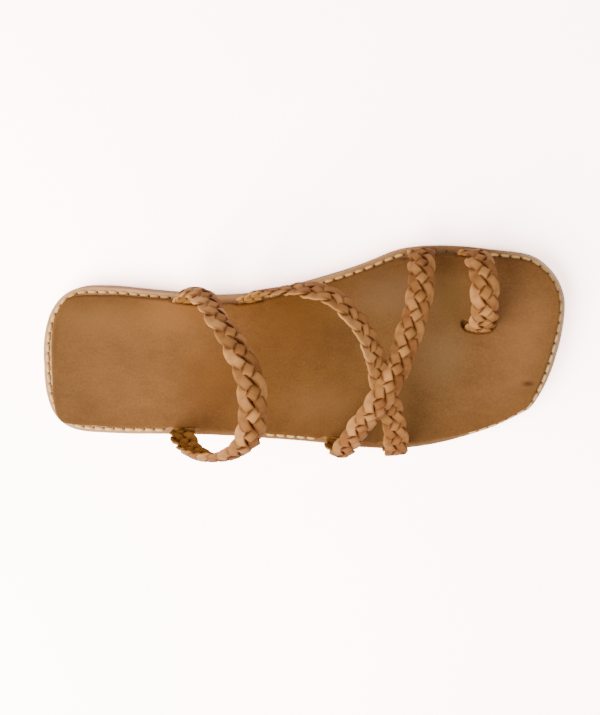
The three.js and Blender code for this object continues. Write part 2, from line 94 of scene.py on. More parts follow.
# %% Light
WINDOWS = {
    "heel_window": {"place": (-640.0, -330.0, 640.0), "size": 1000.0, "power": 22.0},
    "toe_window": {"place": (620.0, -120.0, 640.0), "size": 700.0, "power": 2.6},
}
WINDOW_COLOUR = (1.0, 0.97, 0.93)
SKY_COLOUR = (1.0, 0.985, 0.975, 1.0)
SKY_STRENGTH = 0.36
FLOOR_MIDDLE = np.zeros(3)
ROOM_UP = np.array([0.0, 0.0, 1.0])


def add_window(name, place, size, power):
    """A square lamp at a place, turned to the middle of the floor."""
    lamp_data = bpy.data.lights.new(name, "AREA")
    lamp_data.shape = "SQUARE"
    lamp_data.size = size * MM
    lamp_data.energy = power
    lamp_data.color = WINDOW_COLOUR
    set_up(bpy.data.objects.new(name, lamp_data), np.array(place), FLOOR_MIDDLE, ROOM_UP)


for window_name, window in WINDOWS.items():
    add_window(window_name, **window)

sky = bpy.data.worlds.new("white_room")
sky.use_nodes = True
sky_light = sky.node_tree.nodes["Background"]
sky_light.inputs["Color"].default_value = SKY_COLOUR
sky_light.inputs["Strength"].default_value = SKY_STRENGTH
bpy.context.scene.world = sky
print(len(WINDOWS), "window lamps and a white room")

# %% [markdown]
# ## Shader helpers
# Every finish is a small tree of nodes. It could be drawn by hand in the shader editor, but a few
# helpers keep the trees short and the same on each run. The first ones turn a colour as seen on a
# screen into linear light, start a finish, and add a node with its inputs set and linked. The others
# each add one kind of pattern, mix or relief.

# %% Shader helpers
WHITE = (1.0, 1.0, 1.0, 1.0)


def linear(red, green, blue):
    """Screen values of 0 to 255 as linear light: the power law above a short straight foot."""
    screen = np.array([red, green, blue]) / 255.0
    light = np.where(screen <= 0.04045, screen / 12.92, ((screen + 0.055) / 1.055) ** 2.4)
    return (*light.tolist(), 1.0)


def new_finish(name, roughness, specular):
    """An empty leather-like finish with its own shader."""
    finish = bpy.data.materials.new(name)
    finish.use_nodes = True
    tree = finish.node_tree
    shader = tree.nodes["Principled BSDF"]
    shader.inputs["Roughness"].default_value = roughness
    shader.inputs["Specular IOR Level"].default_value = specular
    return finish, tree, shader


def put(tree, kind, link_to=None, values=None, **settings):
    """Adds one node, sets its properties and input values, and links given sockets into it."""
    node = tree.nodes.new(kind)
    for name, value in settings.items():
        setattr(node, name, value)
    for name, value in (values or {}).items():
        node.inputs[name].default_value = value
    for name, socket in (link_to or {}).items():
        tree.links.new(socket, node.inputs[name])
    return node


print("a screen value of 128 is", round(linear(128, 128, 128)[0], 3), "of full light")

# %% Patterns, mixes and relief
# A Mix node has its own sockets for numbers, vectors and colours. These are the ones for colours.
MIX_FACTOR, MIX_FIRST, MIX_SECOND, MIX_RESULT = 0, 6, 7, 2


def object_place(tree, stretch=None):
    """The point on the piece, in its own metres, stretched where a pattern runs one way."""
    place = put(tree, "ShaderNodeTexCoord").outputs["Object"]
    if stretch is None:
        return place
    return put(tree, "ShaderNodeMapping", {"Vector": place}, {"Scale": stretch}).outputs["Vector"]


def noise(tree, place, scale, detail=3.0, rough=0.55):
    """Cloudy noise; scale is the number of clouds in a metre."""
    values = {"Scale": scale, "Detail": detail, "Roughness": rough}
    return put(tree, "ShaderNodeTexNoise", {"Vector": place}, values).outputs["Fac"]


def ramp(tree, factor, stops):
    """Colours at given shares of a factor, blended between."""
    node = put(tree, "ShaderNodeValToRGB", {"Fac": factor})
    elements = node.color_ramp.elements
    elements[0].position, elements[0].color = stops[0]
    elements[1].position, elements[1].color = stops[-1]
    for position, colour in stops[1:-1]:
        elements.new(position).color = colour
    return node.outputs["Color"]


def mix(tree, factor, first, second, blend="MIX"):
    """Mixes two colours; each of the three inputs may be a fixed value or a socket."""
    node = put(tree, "ShaderNodeMix", data_type="RGBA", blend_type=blend)
    for number, value in ((MIX_FACTOR, factor), (MIX_FIRST, first), (MIX_SECOND, second)):
        if isinstance(value, (float, tuple)):
            node.inputs[number].default_value = value
        else:
            tree.links.new(value, node.inputs[number])
    return node.outputs[MIX_RESULT]


def bump(tree, shader, height, depth_mm):
    """Small relief: the height's full range stands for a depth in millimetres."""
    values = {"Strength": 1.0, "Distance": depth_mm * MM}
    relief = put(tree, "ShaderNodeBump", {"Height": height}, values)
    tree.links.new(relief.outputs["Normal"], shader.inputs["Normal"])


print("helpers for noise, ramps, mixes and relief ready")

# %% [markdown]
# ## Floor
# A plain pale floor, which isn't part of the shoe. In a bright picture a white floor is exposed past
# white, but its bounce on the shoe stays that of white paper. So the floor has two strengths: a strong
# one for what is seen directly, and paper white for the light that it sends on.

# %% Floor
FLOOR_HALF = 3000.0
FLOOR_SEEN = 7.5
FLOOR_CLOUDS = 4.0
FLOOR_STOPS = [(0.3, linear(250, 228, 224)), (0.7, linear(252, 232, 228))]

floor_mesh = bpy.data.meshes.new("floor")
floor_corners = np.array([[-1, -1, 0], [1, -1, 0], [1, 1, 0], [-1, 1, 0]]) * FLOOR_HALF * MM
floor_mesh.from_pydata(floor_corners.tolist(), [], [[0, 1, 2, 3]])
floor = bpy.data.objects.new("floor", floor_mesh)
bpy.context.scene.collection.objects.link(floor)

floor_finish, floor_tree, floor_shader = new_finish("pale_floor", roughness=0.9, specular=0.0)
floor_cloud = noise(floor_tree, object_place(floor_tree), FLOOR_CLOUDS)
floor_colour = ramp(floor_tree, floor_cloud, FLOOR_STOPS)
floor_tree.links.new(floor_colour, floor_shader.inputs["Base Color"])
floor_bright = mix(floor_tree, 1.0, floor_colour, (FLOOR_SEEN, FLOOR_SEEN, FLOOR_SEEN, 1.0), "MULTIPLY")
floor_seen = put(floor_tree, "ShaderNodeBsdfDiffuse", {"Color": floor_bright}).outputs["BSDF"]
floor_ray = put(floor_tree, "ShaderNodeLightPath").outputs["Is Camera Ray"]
floor_shaders = {0: floor_ray, 1: floor_shader.outputs["BSDF"], 2: floor_seen}
floor_pair = put(floor_tree, "ShaderNodeMixShader", floor_shaders).outputs["Shader"]
floor_tree.links.new(floor_pair, floor_tree.nodes["Material Output"].inputs["Surface"])
floor_mesh.materials.append(floor_finish)
print("floor laid")

# %% [markdown]
# ## The sole's outline
# A shoemaker draws a sole from cross measures: at a set distance from the heel, how far out each side
# goes. The two ends are then rounded off. A hand-drawn curve could give the same line, but the table
# and the formulas below are the same as in the solids, so every surface lies on its solid.

# %% Outline tables
LENGTH = 256.0
HALF_LENGTH = LENGTH / 2
SECTION_COLUMNS = ("along", "medial", "lateral", "rim_medial", "rim_lateral")
SECTIONS = np.array([
    (0, 29.0, -42.5, 5.3, 5.3),
    (18, 30.4, -42.8, 4.2, 4.4),
    (36, 30.4, -43.6, 3.8, 3.9),
    (60, 28.2, -43.8, 3.6, 3.7),
    (88, 26.3, -44.2, 3.5, 2.8),
    (112, 28.6, -45.8, 3.5, 3.2),
    (135, 34.2, -47.5, 3.5, 3.2),
    (155, 40.4, -49.8, 3.4, 3.2),
    (178, 49.0, -50.4, 3.7, 3.0),
    (200, 50.6, -46.9, 3.8, 2.5),
    (224, 48.4, -38.8, 3.5, 1.9),
    (240, 46.6, -30.4, 3.4, 2.2),
    (256, 44.5, -21.5, 3.4, 3.6),
])
HEEL_ACROSS = -10.0
TOE_ACROSS = 20.0
# Each corner has the length of its rounding and its squareness.
HEEL_CORNER = {
    "sole": {"medial": (25.0, 2.5), "lateral": (25.0, 2.8)},
    "bed": {"medial": (15.0, 2.7), "lateral": (10.0, 4.5)},
}
TOE_CORNER = {
    "sole": {"medial": (22.0, 2.0), "lateral": (16.0, 1.8)},
    "bed": {"medial": (19.0, 2.0), "lateral": (13.0, 1.45)},
}
HEEL_RIM = SECTIONS[0, 3]
TOE_RIM = SECTIONS[-1, 3]
OUTWARD = {"medial": 1.0, "lateral": -1.0}
TOE_SPRING_FROM = 172.0
TOE_SPRING = 2.2
print("a sole of", LENGTH, "mm from", len(SECTIONS), "cross measures")

# %% Outline curves


def section_value(column, along):
    """A smooth cubic through one column: slopes are those of the line past each row's neighbours."""
    x = SECTIONS[:, 0]
    y = SECTIONS[:, SECTION_COLUMNS.index(column)]
    before = np.r_[0, np.arange(len(x) - 1)]
    after = np.r_[np.arange(1, len(x)), len(x) - 1]
    slope = (y[after] - y[before]) / (x[after] - x[before])
    row = np.clip(np.searchsorted(x, along) - 1, 0, len(x) - 2)
    span = x[row + 1] - x[row]
    t = (along - x[row]) / span
    rise = 3 * t**2 - 2 * t**3
    bend = t * (1 - t) ** 2 * slope[row] - t**2 * (1 - t) * slope[row + 1]
    return y[row] + (y[row + 1] - y[row]) * rise + span * bend


def corner_share(distance, length, squareness):
    """A superellipse: the share of the full breadth at a distance from a rounded end."""
    t = np.clip(distance / length, 0, 1)
    return (1 - (1 - t) ** squareness) ** (1 / squareness)


def edge_at(side, along, layer):
    """How far out an edge is: the sides' curve, closed at both ends; the bed's lies inside the rim."""
    inset = 1.0 if layer == "bed" else 0.0
    straight = section_value(side, along)
    straight = straight - OUTWARD[side] * inset * section_value("rim_" + side, along)
    heel = corner_share(along - inset * HEEL_RIM, *HEEL_CORNER[layer][side])
    toe = corner_share(LENGTH - inset * TOE_RIM - along, *TOE_CORNER[layer][side])
    across = HEEL_ACROSS + (straight - HEEL_ACROSS) * heel
    return TOE_ACROSS + (across - TOE_ACROSS) * toe


def spring_at(along):
    """The toe lifts off the floor as a parabola."""
    t = np.clip((along - TOE_SPRING_FROM) / (LENGTH - TOE_SPRING_FROM), 0, None)
    return TOE_SPRING * t**2


print("toe lifts", round(float(spring_at(np.array([LENGTH]))[0]), 1), "mm")

# %% Outline rings
FINE_STATIONS = 6001
CUT_WIDTH = 0.01  # a wider end is a straight cut
MIDDLE_REACH = 0.35
PROBE_COUNT = 300


def even_stations(start, end, layer, count):
    """Stations that part both edges into even steps, found on fine ones crowded to the two ends."""
    t = np.linspace(0, 1, FINE_STATIONS)
    crowded = t**4 / (t**4 + (1 - t) ** 4)
    along = start + (end - start) * crowded
    steps = sum(np.hypot(np.diff(along), np.diff(edge_at(side, along, layer))) for side in OUTWARD)
    run = np.r_[0, np.cumsum(steps)]
    return np.interp(np.linspace(0, run[-1], count), run, along)


def outline_ring(start, end, layer, count, cut_points=0):
    """One turn round the sole: up the medial edge, down the lateral one, and straight across a cut."""
    along = even_stations(start, end, layer, count)
    medial = np.stack([along - HALF_LENGTH, edge_at("medial", along, layer)], axis=1)
    lateral = np.stack([along - HALF_LENGTH, edge_at("lateral", along, layer)], axis=1)[::-1]
    share = np.linspace(0, 1, cut_points + 2)[1:-1, None]
    front_cut = medial[-1] + (lateral[0] - medial[-1]) * share
    rear_cut = lateral[-1] + (medial[0] - lateral[-1]) * share
    open_front = np.ptp([medial[-1, 1], lateral[0, 1]]) > CUT_WIDTH
    open_rear = np.ptp([medial[0, 1], lateral[-1, 1]]) > CUT_WIDTH
    pieces = [medial, front_cut if open_front else medial[:0]]
    pieces += [lateral[0 if open_front else 1:], rear_cut if open_rear else medial[:0]]
    ring = np.concatenate(pieces)
    return ring if open_rear else ring[:-1]


def ring_outward(ring):
    """Unit normals that point out of the ring."""
    run = np.roll(ring, -1, axis=0) - np.roll(ring, 1, axis=0)
    run = run / np.linalg.norm(run, axis=1, keepdims=True)
    return np.stack([-run[:, 1], run[:, 0]], axis=1)


def ring_middle(ring, start, end, layer):
    """The point on the sole's middle line that each ring point is drawn towards."""
    reach = MIDDLE_REACH * np.ptp(ring[:, 1])
    along = np.clip(ring[:, 0] + HALF_LENGTH, start + reach, end - reach)
    across = (edge_at("medial", along, layer) + edge_at("lateral", along, layer)) / 2
    return np.stack([along - HALF_LENGTH, across], axis=1)


def ring_run(ring):
    """Distance round the ring at each of its points."""
    steps = np.linalg.norm(np.diff(ring, axis=0), axis=1)
    return np.r_[0, np.cumsum(steps)]


probe = outline_ring(0, LENGTH, "sole", PROBE_COUNT)
print("outline", np.ptp(probe, axis=0).round(1), "mm")

# %% [markdown]
# ## Meshes from grids
# Each surface below is an array of points in rows and columns, rather than a shape pulled by hand.
# One helper turns the array into faces, closes the seams and poles by joining points that lie on each
# other, and makes the faces look out. The next adds a piece to the scene with its finish.

# %% Meshes from grids
WELD_METRES = 2e-6
SLIVER_METRES = 1e-7


def grid_quads(rows, columns):
    """Corner numbers of a grid whose columns close round on themselves."""
    row, column = np.meshgrid(np.arange(rows - 1), np.arange(columns), indexing="ij")
    beside = (column + 1) % columns
    corners = [row * columns + column, row * columns + beside]
    corners += [(row + 1) * columns + beside, (row + 1) * columns + column]
    return np.stack(corners, axis=-1).reshape(-1, 4)


def grid_mesh(name, points_mm, quads, marks):
    """A smooth closed mesh from points, four corners a face, and numbers carried by the points."""
    mesh = bpy.data.meshes.new(name)
    points = np.asarray(points_mm, float).reshape(-1, 3) * MM
    mesh.vertices.add(len(points))
    mesh.vertices.foreach_set("co", points.astype(np.float32).ravel())
    mesh.loops.add(quads.size)
    mesh.loops.foreach_set("vertex_index", quads.astype(np.int32).ravel())
    mesh.polygons.add(len(quads))
    mesh.polygons.foreach_set("loop_start", np.arange(0, quads.size, 4, dtype=np.int32))
    for mark_name, values in marks.items():
        attribute = mesh.attributes.new(mark_name, "FLOAT", "POINT")
        attribute.data.foreach_set("value", np.asarray(values, np.float32).ravel())
    mesh.update(calc_edges=True)
    mesh.validate()
    work = bmesh.new()
    work.from_mesh(mesh)
    bmesh.ops.remove_doubles(work, verts=work.verts, dist=WELD_METRES)
    bmesh.ops.dissolve_degenerate(work, edges=work.edges, dist=SLIVER_METRES)
    bmesh.ops.recalc_face_normals(work, faces=work.faces)
    work.to_mesh(mesh)
    work.free()
    mesh.polygons.foreach_set("use_smooth", np.ones(len(mesh.polygons), bool))
    return mesh


def make_piece(name, points_mm, quads, finish, nodes=(), marks=None):
    """One finished piece: its mesh, its finish, its place on the body and the solids it stands for."""
    mesh = grid_mesh(name, points_mm, quads, marks or {})
    mesh.materials.append(finish)
    piece = bpy.data.objects.new(name, mesh)
    bpy.context.scene.collection.objects.link(piece)
    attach(piece, BODY)
    if nodes:
        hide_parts(*nodes)
    print(name, len(mesh.loops) - 2 * len(mesh.polygons), "triangles")


print("points closer than", WELD_METRES / MM, "mm are joined")

# %% [markdown]
# ## Raw leather edges
# The sole is a stack of vegetable-tanned leather whose cut edge is left raw. Such an edge is streaked
# along its length, because the fibres of a hide lie in sheets. An image of leather would stretch and
# Noise that is squeezed in height and drawn out along the sole gives the
# streaks without a seam, and a finer one gives the fuzz. The top of the rim has painted light and
# shade: paler at the heel and darker further forward, and darker on the lateral side, which the
# lamps light more, than on the medial side, which the footbed's edge shades.

# %% Raw leather recipe
RAW_ROUGHNESS = 0.78
RAW_GLOSS = 0.25
SHEET_STRETCH = (14.0, 14.0, 900.0)
FIBRE_STRETCH = (260.0, 260.0, 2600.0)
STAIN_CLOUDS = 55.0
STAIN_SHARE = 0.4
HALF_BREADTH = 50.0
LENGTHWISE = {"From Min": -HALF_LENGTH * MM, "From Max": HALF_LENGTH * MM}
CROSSWISE = {"From Min": -HALF_BREADTH * MM, "From Max": HALF_BREADTH * MM}
RIM_CLOUD_STOPS = [(0.35, linear(226, 218, 210)), (0.65, WHITE)]


def share_of(tree, axis, span):
    """Where a point lies along one axis of the sandal, as a share of a span."""
    split = put(tree, "ShaderNodeSeparateXYZ", {"Vector": object_place(tree)})
    return put(tree, "ShaderNodeMapRange", {"Value": split.outputs[axis]}, span).outputs["Result"]


def mark(tree, name):
    """A number that the mesh carries at each of its points."""
    return put(tree, "ShaderNodeAttribute", attribute_name=name).outputs["Fac"]


def rim_painted_shading(tree, clouds, stops):
    """The top of a rim, with painted light and shade: tones along each side, mixed across, and cloudy."""
    lateral, medial = (ramp(tree, share_of(tree, "X", LENGTHWISE), side_stops) for side_stops in stops)
    tone = mix(tree, share_of(tree, "Y", CROSSWISE), lateral, medial)
    return mix(tree, 1.0, tone, ramp(tree, clouds, RIM_CLOUD_STOPS), "MULTIPLY")


def raw_leather(name, pale, middle, dark, fuzz_mm, rim_shading_stops=None):
    """Streaked leather: three tones by noise in thin sheets, fuzzy relief, and painted light and shade on
    the rim.
    """
    finish, tree, shader = new_finish(name, RAW_ROUGHNESS, RAW_GLOSS)
    sheets = noise(tree, object_place(tree, SHEET_STRETCH), 1.0, detail=5.0, rough=0.62)
    clouds = noise(tree, object_place(tree), STAIN_CLOUDS, detail=4.0)
    streaks = ramp(tree, sheets, [(0.32, dark), (0.47, middle), (0.62, pale)])
    stain = ramp(tree, clouds, [(0.35, middle), (0.65, pale)])
    colour = mix(tree, STAIN_SHARE, streaks, stain)
    if rim_shading_stops:
        colour = mix(tree, mark(tree, "rim"), colour, rim_painted_shading(tree, clouds, rim_shading_stops))
    tree.links.new(colour, shader.inputs["Base Color"])
    fibre = noise(tree, object_place(tree, FIBRE_STRETCH), 1.0, detail=4.0, rough=0.6)
    bump(tree, shader, fibre, fuzz_mm)
    return finish


print("streaks are drawn out", round(SHEET_STRETCH[2] / SHEET_STRETCH[0]), "times")

# %% Raw leather finishes
# The rim top's tones along each side, heel to toe: painted light and shade, darker on the lateral side.
LATERAL_RIM_SHADING = [
    (0.0, linear(238, 190, 138)), (0.16, linear(234, 182, 128)), (0.3, linear(162, 112, 66)),
    (0.47, linear(170, 124, 78)), (0.65, linear(146, 100, 57)), (0.78, linear(157, 116, 76)),
    (0.88, linear(168, 124, 84)), (1.0, linear(162, 118, 79))]
MEDIAL_RIM_SHADING = [
    (0.0, linear(238, 190, 138)), (0.08, linear(236, 182, 130)), (0.23, linear(230, 176, 128)),
    (0.4, linear(214, 160, 106)), (0.6, linear(200, 147, 94)), (0.72, linear(180, 134, 90)),
    (0.84, linear(158, 116, 78)), (1.0, linear(222, 192, 160))]
midsole_finish = raw_leather(
    "raw_cream_leather", linear(234, 188, 142), linear(214, 166, 120), linear(184, 134, 92),
    fuzz_mm=0.35, rim_shading_stops=(LATERAL_RIM_SHADING, MEDIAL_RIM_SHADING))
outsole_finish = raw_leather(
    "raw_buff_leather", linear(236, 202, 170), linear(214, 172, 140), linear(176, 126, 98),
    fuzz_mm=0.4)
tread_finish = raw_leather(
    "raw_tan_tread", linear(222, 176, 148), linear(200, 150, 122), linear(166, 116, 88),
    fuzz_mm=0.4)
print("raw edges ready")

# %% [markdown]
# ## Sole layers
# The sole is four cut pieces of leather: two treads, an outsole and a midsole. A Bevel modifier could
# soften the solids' corners, but it would leave every edge equally straight. So each layer is its edge
# profile carried round the outline: across the underside, up the wall with worn corners, and back over
# the top to the middle. The wall wavers by a tenth of a millimetre or two, as a knife-cut edge does.
# The midsole's rim has a shallow groove for the stitches.

# %% Layer profiles
TREAD = 2.2
LAYER_GAP = 0.3
OUTSOLE_THICK = 3.9
MIDSOLE_THICK = 4.2
OUTSOLE_BOTTOM = TREAD + LAYER_GAP
OUTSOLE_TOP = OUTSOLE_BOTTOM + OUTSOLE_THICK
MIDSOLE_BOTTOM = OUTSOLE_TOP + LAYER_GAP
MIDSOLE_TOP = MIDSOLE_BOTTOM + MIDSOLE_THICK
UNDERSIDE_INSET = 2.0
TOP_INSET = 5.5
PULLS = np.array([0.0, 0.33, 0.66, 1.0])
WALL_SHARES = np.array([0.35, 0.5, 0.65])
CORNER_STEPS = 5
STITCH_INSET = 2.5
GROOVE_DEPTH = 0.3
GROOVE_HALF = 1.1
GROOVE_STEPS = np.array([-1.1, -0.6, 0.0, 0.6, 1.1])


def profile_rows(*columns):
    """Rows of a profile from its columns, each a number or an array."""
    return np.stack([np.atleast_1d(column) for column in np.broadcast_arrays(*columns)], axis=1)


def layer_profile(bottom, top, round_bottom, round_top, groove=False):
    """Rows of inset, pull to the middle, height, share of the skive and of the rim, underside first.

    Both corners are quarter circles, and the groove is a V."""
    quarter = np.linspace(0, np.pi / 2, CORNER_STEPS)
    sine, cosine = np.sin(quarter), np.cos(quarter)
    wall = bottom + (top - bottom) * WALL_SHARES
    lower = bottom + round_bottom * (1 - cosine)
    upper = top - round_top * (1 - sine)
    groove_height = top - GROOVE_DEPTH * (1 - np.abs(GROOVE_STEPS) / GROOVE_HALF)
    rows = [profile_rows(UNDERSIDE_INSET, PULLS[::-1], bottom, 1.0, 0.0)]
    rows += [profile_rows(round_bottom * (1 - sine), 0.0, lower, 1.0, 0.0)]
    rows += [profile_rows(0.0, 0.0, wall, 1 - WALL_SHARES, 0.0)]
    rows += [profile_rows(round_top * (1 - cosine), 0.0, upper, 0.0, sine**4)]
    if groove:
        rows += [profile_rows(STITCH_INSET + GROOVE_STEPS, 0.0, groove_height, 0.0, 1.0)]
    rows += [profile_rows(TOP_INSET, PULLS, top, 0.0, 1.0)]
    return np.concatenate(rows)


# The layers reach a little into the thin gaps between the solids, so that the stack looks closed.
OUTSOLE_LAP = 0.15
MIDSOLE_LAP = 0.1
tread_profile = layer_profile(0.0, TREAD + LAYER_GAP, round_bottom=0.35, round_top=0.05)
outsole_profile = layer_profile(
    OUTSOLE_BOTTOM, OUTSOLE_TOP + OUTSOLE_LAP, round_bottom=0.25, round_top=0.3)
midsole_profile = layer_profile(
    MIDSOLE_BOTTOM - MIDSOLE_LAP, MIDSOLE_TOP, round_bottom=0.3, round_top=0.6, groove=True)
print("sole", round(MIDSOLE_TOP, 1), "mm thick, midsole profile of", len(midsole_profile), "rows")

# %% Sole layers
HEEL_LIFT_FLAT = 73.0
HEEL_LIFT_END = 85.0
HALF_SOLE_END = 135.0
HALF_SOLE_FLAT = 142.0
SKIVED_EDGE = 0.4
KNIFE_WAVER = 0.14
WAVER_INSET = 1.5
CUT_POINTS = 24
WAVE_LENGTHS = np.array([7.3, 17.9, 41.0, 93.0])
WAVE_SHARES = np.array([0.16, 0.24, 0.32, 0.28])
WAVE_SHIFT = 2.1


def waver(run, seed):
    """A slow, uneven wave round the outline, a sum of four sines of odd lengths."""
    turns = run[..., None] * 2 * np.pi / (WAVE_LENGTHS + seed)
    return (WAVE_SHARES * np.sin(turns + seed * WAVE_SHIFT)).sum(axis=-1)


def skive_lift(along, flat, end):
    """A tread thins out: its underside rises in a straight slope from where it is flat to its end."""
    t = np.clip((along - flat) / (end - flat), 0, 1)
    return (TREAD - SKIVED_EDGE) * t


def sole_layer(name, start, end, profile, finish, seed, skive=None, count=260):
    """Carries a profile round the outline between two places along the sole."""
    ring = outline_ring(start, end, "sole", count, CUT_POINTS)
    outward = ring_outward(ring)
    middle = ring_middle(ring, start, end, "sole")
    inset, pull, height, skived, rim = (profile[:, column, None] for column in range(5))
    shake = KNIFE_WAVER * waver(ring_run(ring), seed) * (pull == 0) * (inset < WAVER_INSET)
    place = ring - (inset + KNIFE_WAVER + shake)[..., None] * outward
    place = place * (1 - pull[..., None]) + middle * pull[..., None]
    along = place[..., 0] + HALF_LENGTH
    lift = 0 if skive is None else skived * skive_lift(along, *skive)
    z = height + spring_at(along) + lift
    points = np.concatenate([place, z[..., None]], axis=-1)
    marks = {"rim": np.broadcast_to(rim, z.shape)}
    quads = grid_quads(*points.shape[:2])
    make_piece(name + "_layer", points, quads, finish, [name], marks)


sole_layer(
    "heel_lift", 0, HEEL_LIFT_END, tread_profile, tread_finish, seed=1.0,
    skive=(HEEL_LIFT_FLAT, HEEL_LIFT_END), count=150)
sole_layer(
    "half_sole", HALF_SOLE_END, LENGTH, tread_profile, tread_finish, seed=2.0,
    skive=(HALF_SOLE_FLAT, HALF_SOLE_END), count=170)
sole_layer("outsole", 0, LENGTH, outsole_profile, outsole_finish, seed=3.0)
sole_layer("midsole", 0, LENGTH, midsole_profile, midsole_finish, seed=4.0)

# %% [markdown]
# ## Strap lines
# A braid is laid out by its middle line, before any strip is drawn. Each row is a point of that line
# with two angles: face turns the strap's outside from the medial side (0) over up (90) to the lateral
# side (180), and tilt leans it to the toe. The same rows are in the solids. A Bezier curve with tilt
# could hold them too, but its twist is hard to steer, so a line through the rows is worked out here.

# %% Strap tables
# Half is half a strap's width. Legs gives where along the sole it goes under the footbed, and swell how
# far it lifts the edge there. Curl is its bend across in degrees, steps its number of crossings and
# start where they begin. Tone is its lightness at three places; it is partly painted light, set paler
# on the straps that turn away from the lamps. Hide shifts its strips' tones.
BACK_STRAP = {
    "half": 6.4, "curl": 50, "steps": 49, "start": 0.25, "tone": (0.72, 0.42, 0.08), "hide": 10,
    "legs": {"medial": 73.6, "lateral": 69.5}, "swell": {"medial": 2.4, "lateral": 2.2},
    "rows": [
        (-50.0, 30.5, 32, 6, 0),
        (-41.8, 30.2, 49, 20, 6),
        (-33.2, 22.6, 65, 42, 33),
        (-24.0, 11.2, 77, 64, 25),
        (-17.9, -3.0, 84, 82, 18),
        (-17.5, -15.0, 84.5, 98, 13),
        (-19.5, -27.0, 80.5, 118, 12),
        (-26.5, -36.2, 71, 158, 9),
        (-37.0, -42.0, 58, 163, 4),
        (-47.0, -45.4, 43, 164, 0),
        (-55.0, -45.0, 27, 182, 0),
    ],
}
REAR_CROSS = {
    "half": 5.8, "curl": 4, "steps": 44, "start": 0.0, "tone": (0.5, 0.68, 0.18), "hide": 12,
    "legs": {"medial": 103.6, "lateral": 174.5}, "swell": {"medial": 2.4, "lateral": 1.4},
    "rows": [
        (-18.0, 29.3, 30, 10, 0),
        (-9.3, 31.5, 46, 22, 0),
        (1.4, 33.4, 57, 34, 12),
        (14.0, 30.8, 62.5, 52, 42),
        (22.6, 23.4, 62, 68, 55),
        (29.2, 14.2, 58.5, 80, 52),
        (33.6, 3.5, 53, 90, 42),
        (37.0, -8.0, 47.5, 98, 26),
        (41.2, -20.4, 42, 108, 18),
        (44.9, -34.2, 35.8, 126, 14),
        (46.4, -47.4, 27.5, 156, 8),
    ],
}
FRONT_CROSS = {
    "half": 6.3, "curl": 42, "steps": 40, "start": 0.25, "tone": (0.4, 0.37, 0.32), "hide": 16,
    "legs": {"medial": 185.4, "lateral": 146.4}, "swell": {"medial": 1.0, "lateral": 1.4},
    "rows": [
        (57.0, 48.2, 22, 8, 0),
        (55.9, 44.0, 31, 38, 0),
        (55.2, 36.0, 38.5, 66, 2),
        (53.5, 24.8, 42, 82, 5),
        (50.3, 14.2, 44, 86, 6),
        (46.0, 2.0, 47, 88, 6),
        (41.0, -9.3, 50, 92, 8),
        (36.0, -18.5, 50, 102, 8),
        (29.5, -30.0, 43, 122, 5),
        (23.2, -42.4, 34, 146, 0),
        (20.2, -49.6, 25, 172, 0),
    ],
}
TOE_LOOP = {
    "half": 6.7, "curl": 40, "steps": 21, "start": 1.55, "tone": (0.42, 0.42, 0.42), "hide": 8,
    "legs": {"medial": 210.3}, "swell": {"medial": 1.0},
    "rows": [
        (82.5, 47.6, 23, 8, 0),
        (82.6, 43.5, 33, 40, 0),
        (83.4, 35.5, 39.5, 75, 4),
        (83.9, 26.5, 39.5, 105, 6),
        (85.2, 18.0, 33, 145, 6),
        (86.4, 12.5, 23, 172, 4),
    ],
}
STRAPS = [BACK_STRAP, REAR_CROSS, FRONT_CROSS, TOE_LOOP]
LEGS = [(strap, side) for strap in STRAPS for side in strap["legs"]]
# The slot's hole lies a little behind the leg that goes through it.
TOE_SLOT = {"x": 86.8, "y": 11.0, "length": 16.3, "width": 4.4, "behind": 0.45}
print(len(STRAPS), "straps with", len(LEGS), "legs on the rim")

# %% Strap ends
TAIL_REACH = 15.0
TAIL_LEVEL = 2.4
TAIL_RISE = 1.3
TAIL_BEND = 2.6
BEND_MIDDLE = 0.29 * TAIL_BEND  # halfway round a quarter circle
LEG_INSET = 2.2
LEG_FOOT = 3.4


def tail_height(along):
    """How high a strap's tail lies on the midsole."""
    return MIDSOLE_TOP + float(spring_at(np.array([along]))[0]) + TAIL_RISE


def tail_rows(along, side):
    """From the tail under the footbed, round a quarter bend over the rim and up the leg."""
    outward = OUTWARD[side]
    edge = float(edge_at(side, np.array([along]), "sole")[0])
    bend = LEG_INSET + TAIL_BEND
    inside = [TAIL_REACH, bend + TAIL_LEVEL, bend, LEG_INSET + BEND_MIDDLE, LEG_INSET, LEG_INSET]
    y = edge - outward * np.array(inside)
    height = tail_height(along) + np.array([0, 0, 0, BEND_MIDDLE, TAIL_BEND, TAIL_BEND + LEG_FOOT])
    angle = np.array([90, 90, 86, 45, 4, 0])
    face = -angle if outward > 0 else 180 + angle
    x = np.full(len(angle), along - HALF_LENGTH)
    return np.stack([x, y, height, face, np.zeros(len(angle))], axis=1)


def slot_rows():
    """From the toe loop's inner leg down through the slot and on under the footbed."""
    rest = tail_height(TOE_SLOT["x"] + HALF_LENGTH)
    inward = np.array([0, 0, BEND_MIDDLE, TAIL_BEND, TAIL_BEND + TAIL_LEVEL, TAIL_REACH - LEG_INSET])
    height = rest + np.array([TAIL_BEND + LEG_FOOT, TAIL_BEND, BEND_MIDDLE, 0, 0, 0])
    face = np.array([178, 176, 135, 94, 90, 90])
    x = np.full(len(face), TOE_SLOT["x"])
    return np.stack([x, TOE_SLOT["y"] - inward, height, face, np.zeros(len(face))], axis=1)


def strap_rows(strap):
    """All rows of one strap, from its medial tail to its other end."""
    legs = strap["legs"]
    start = tail_rows(legs["medial"], "medial")
    end = tail_rows(legs["lateral"], "lateral")[::-1] if "lateral" in legs else slot_rows()
    return np.concatenate([start, np.array(strap["rows"], float), end])


print("tails reach", TAIL_REACH, "mm under the footbed")

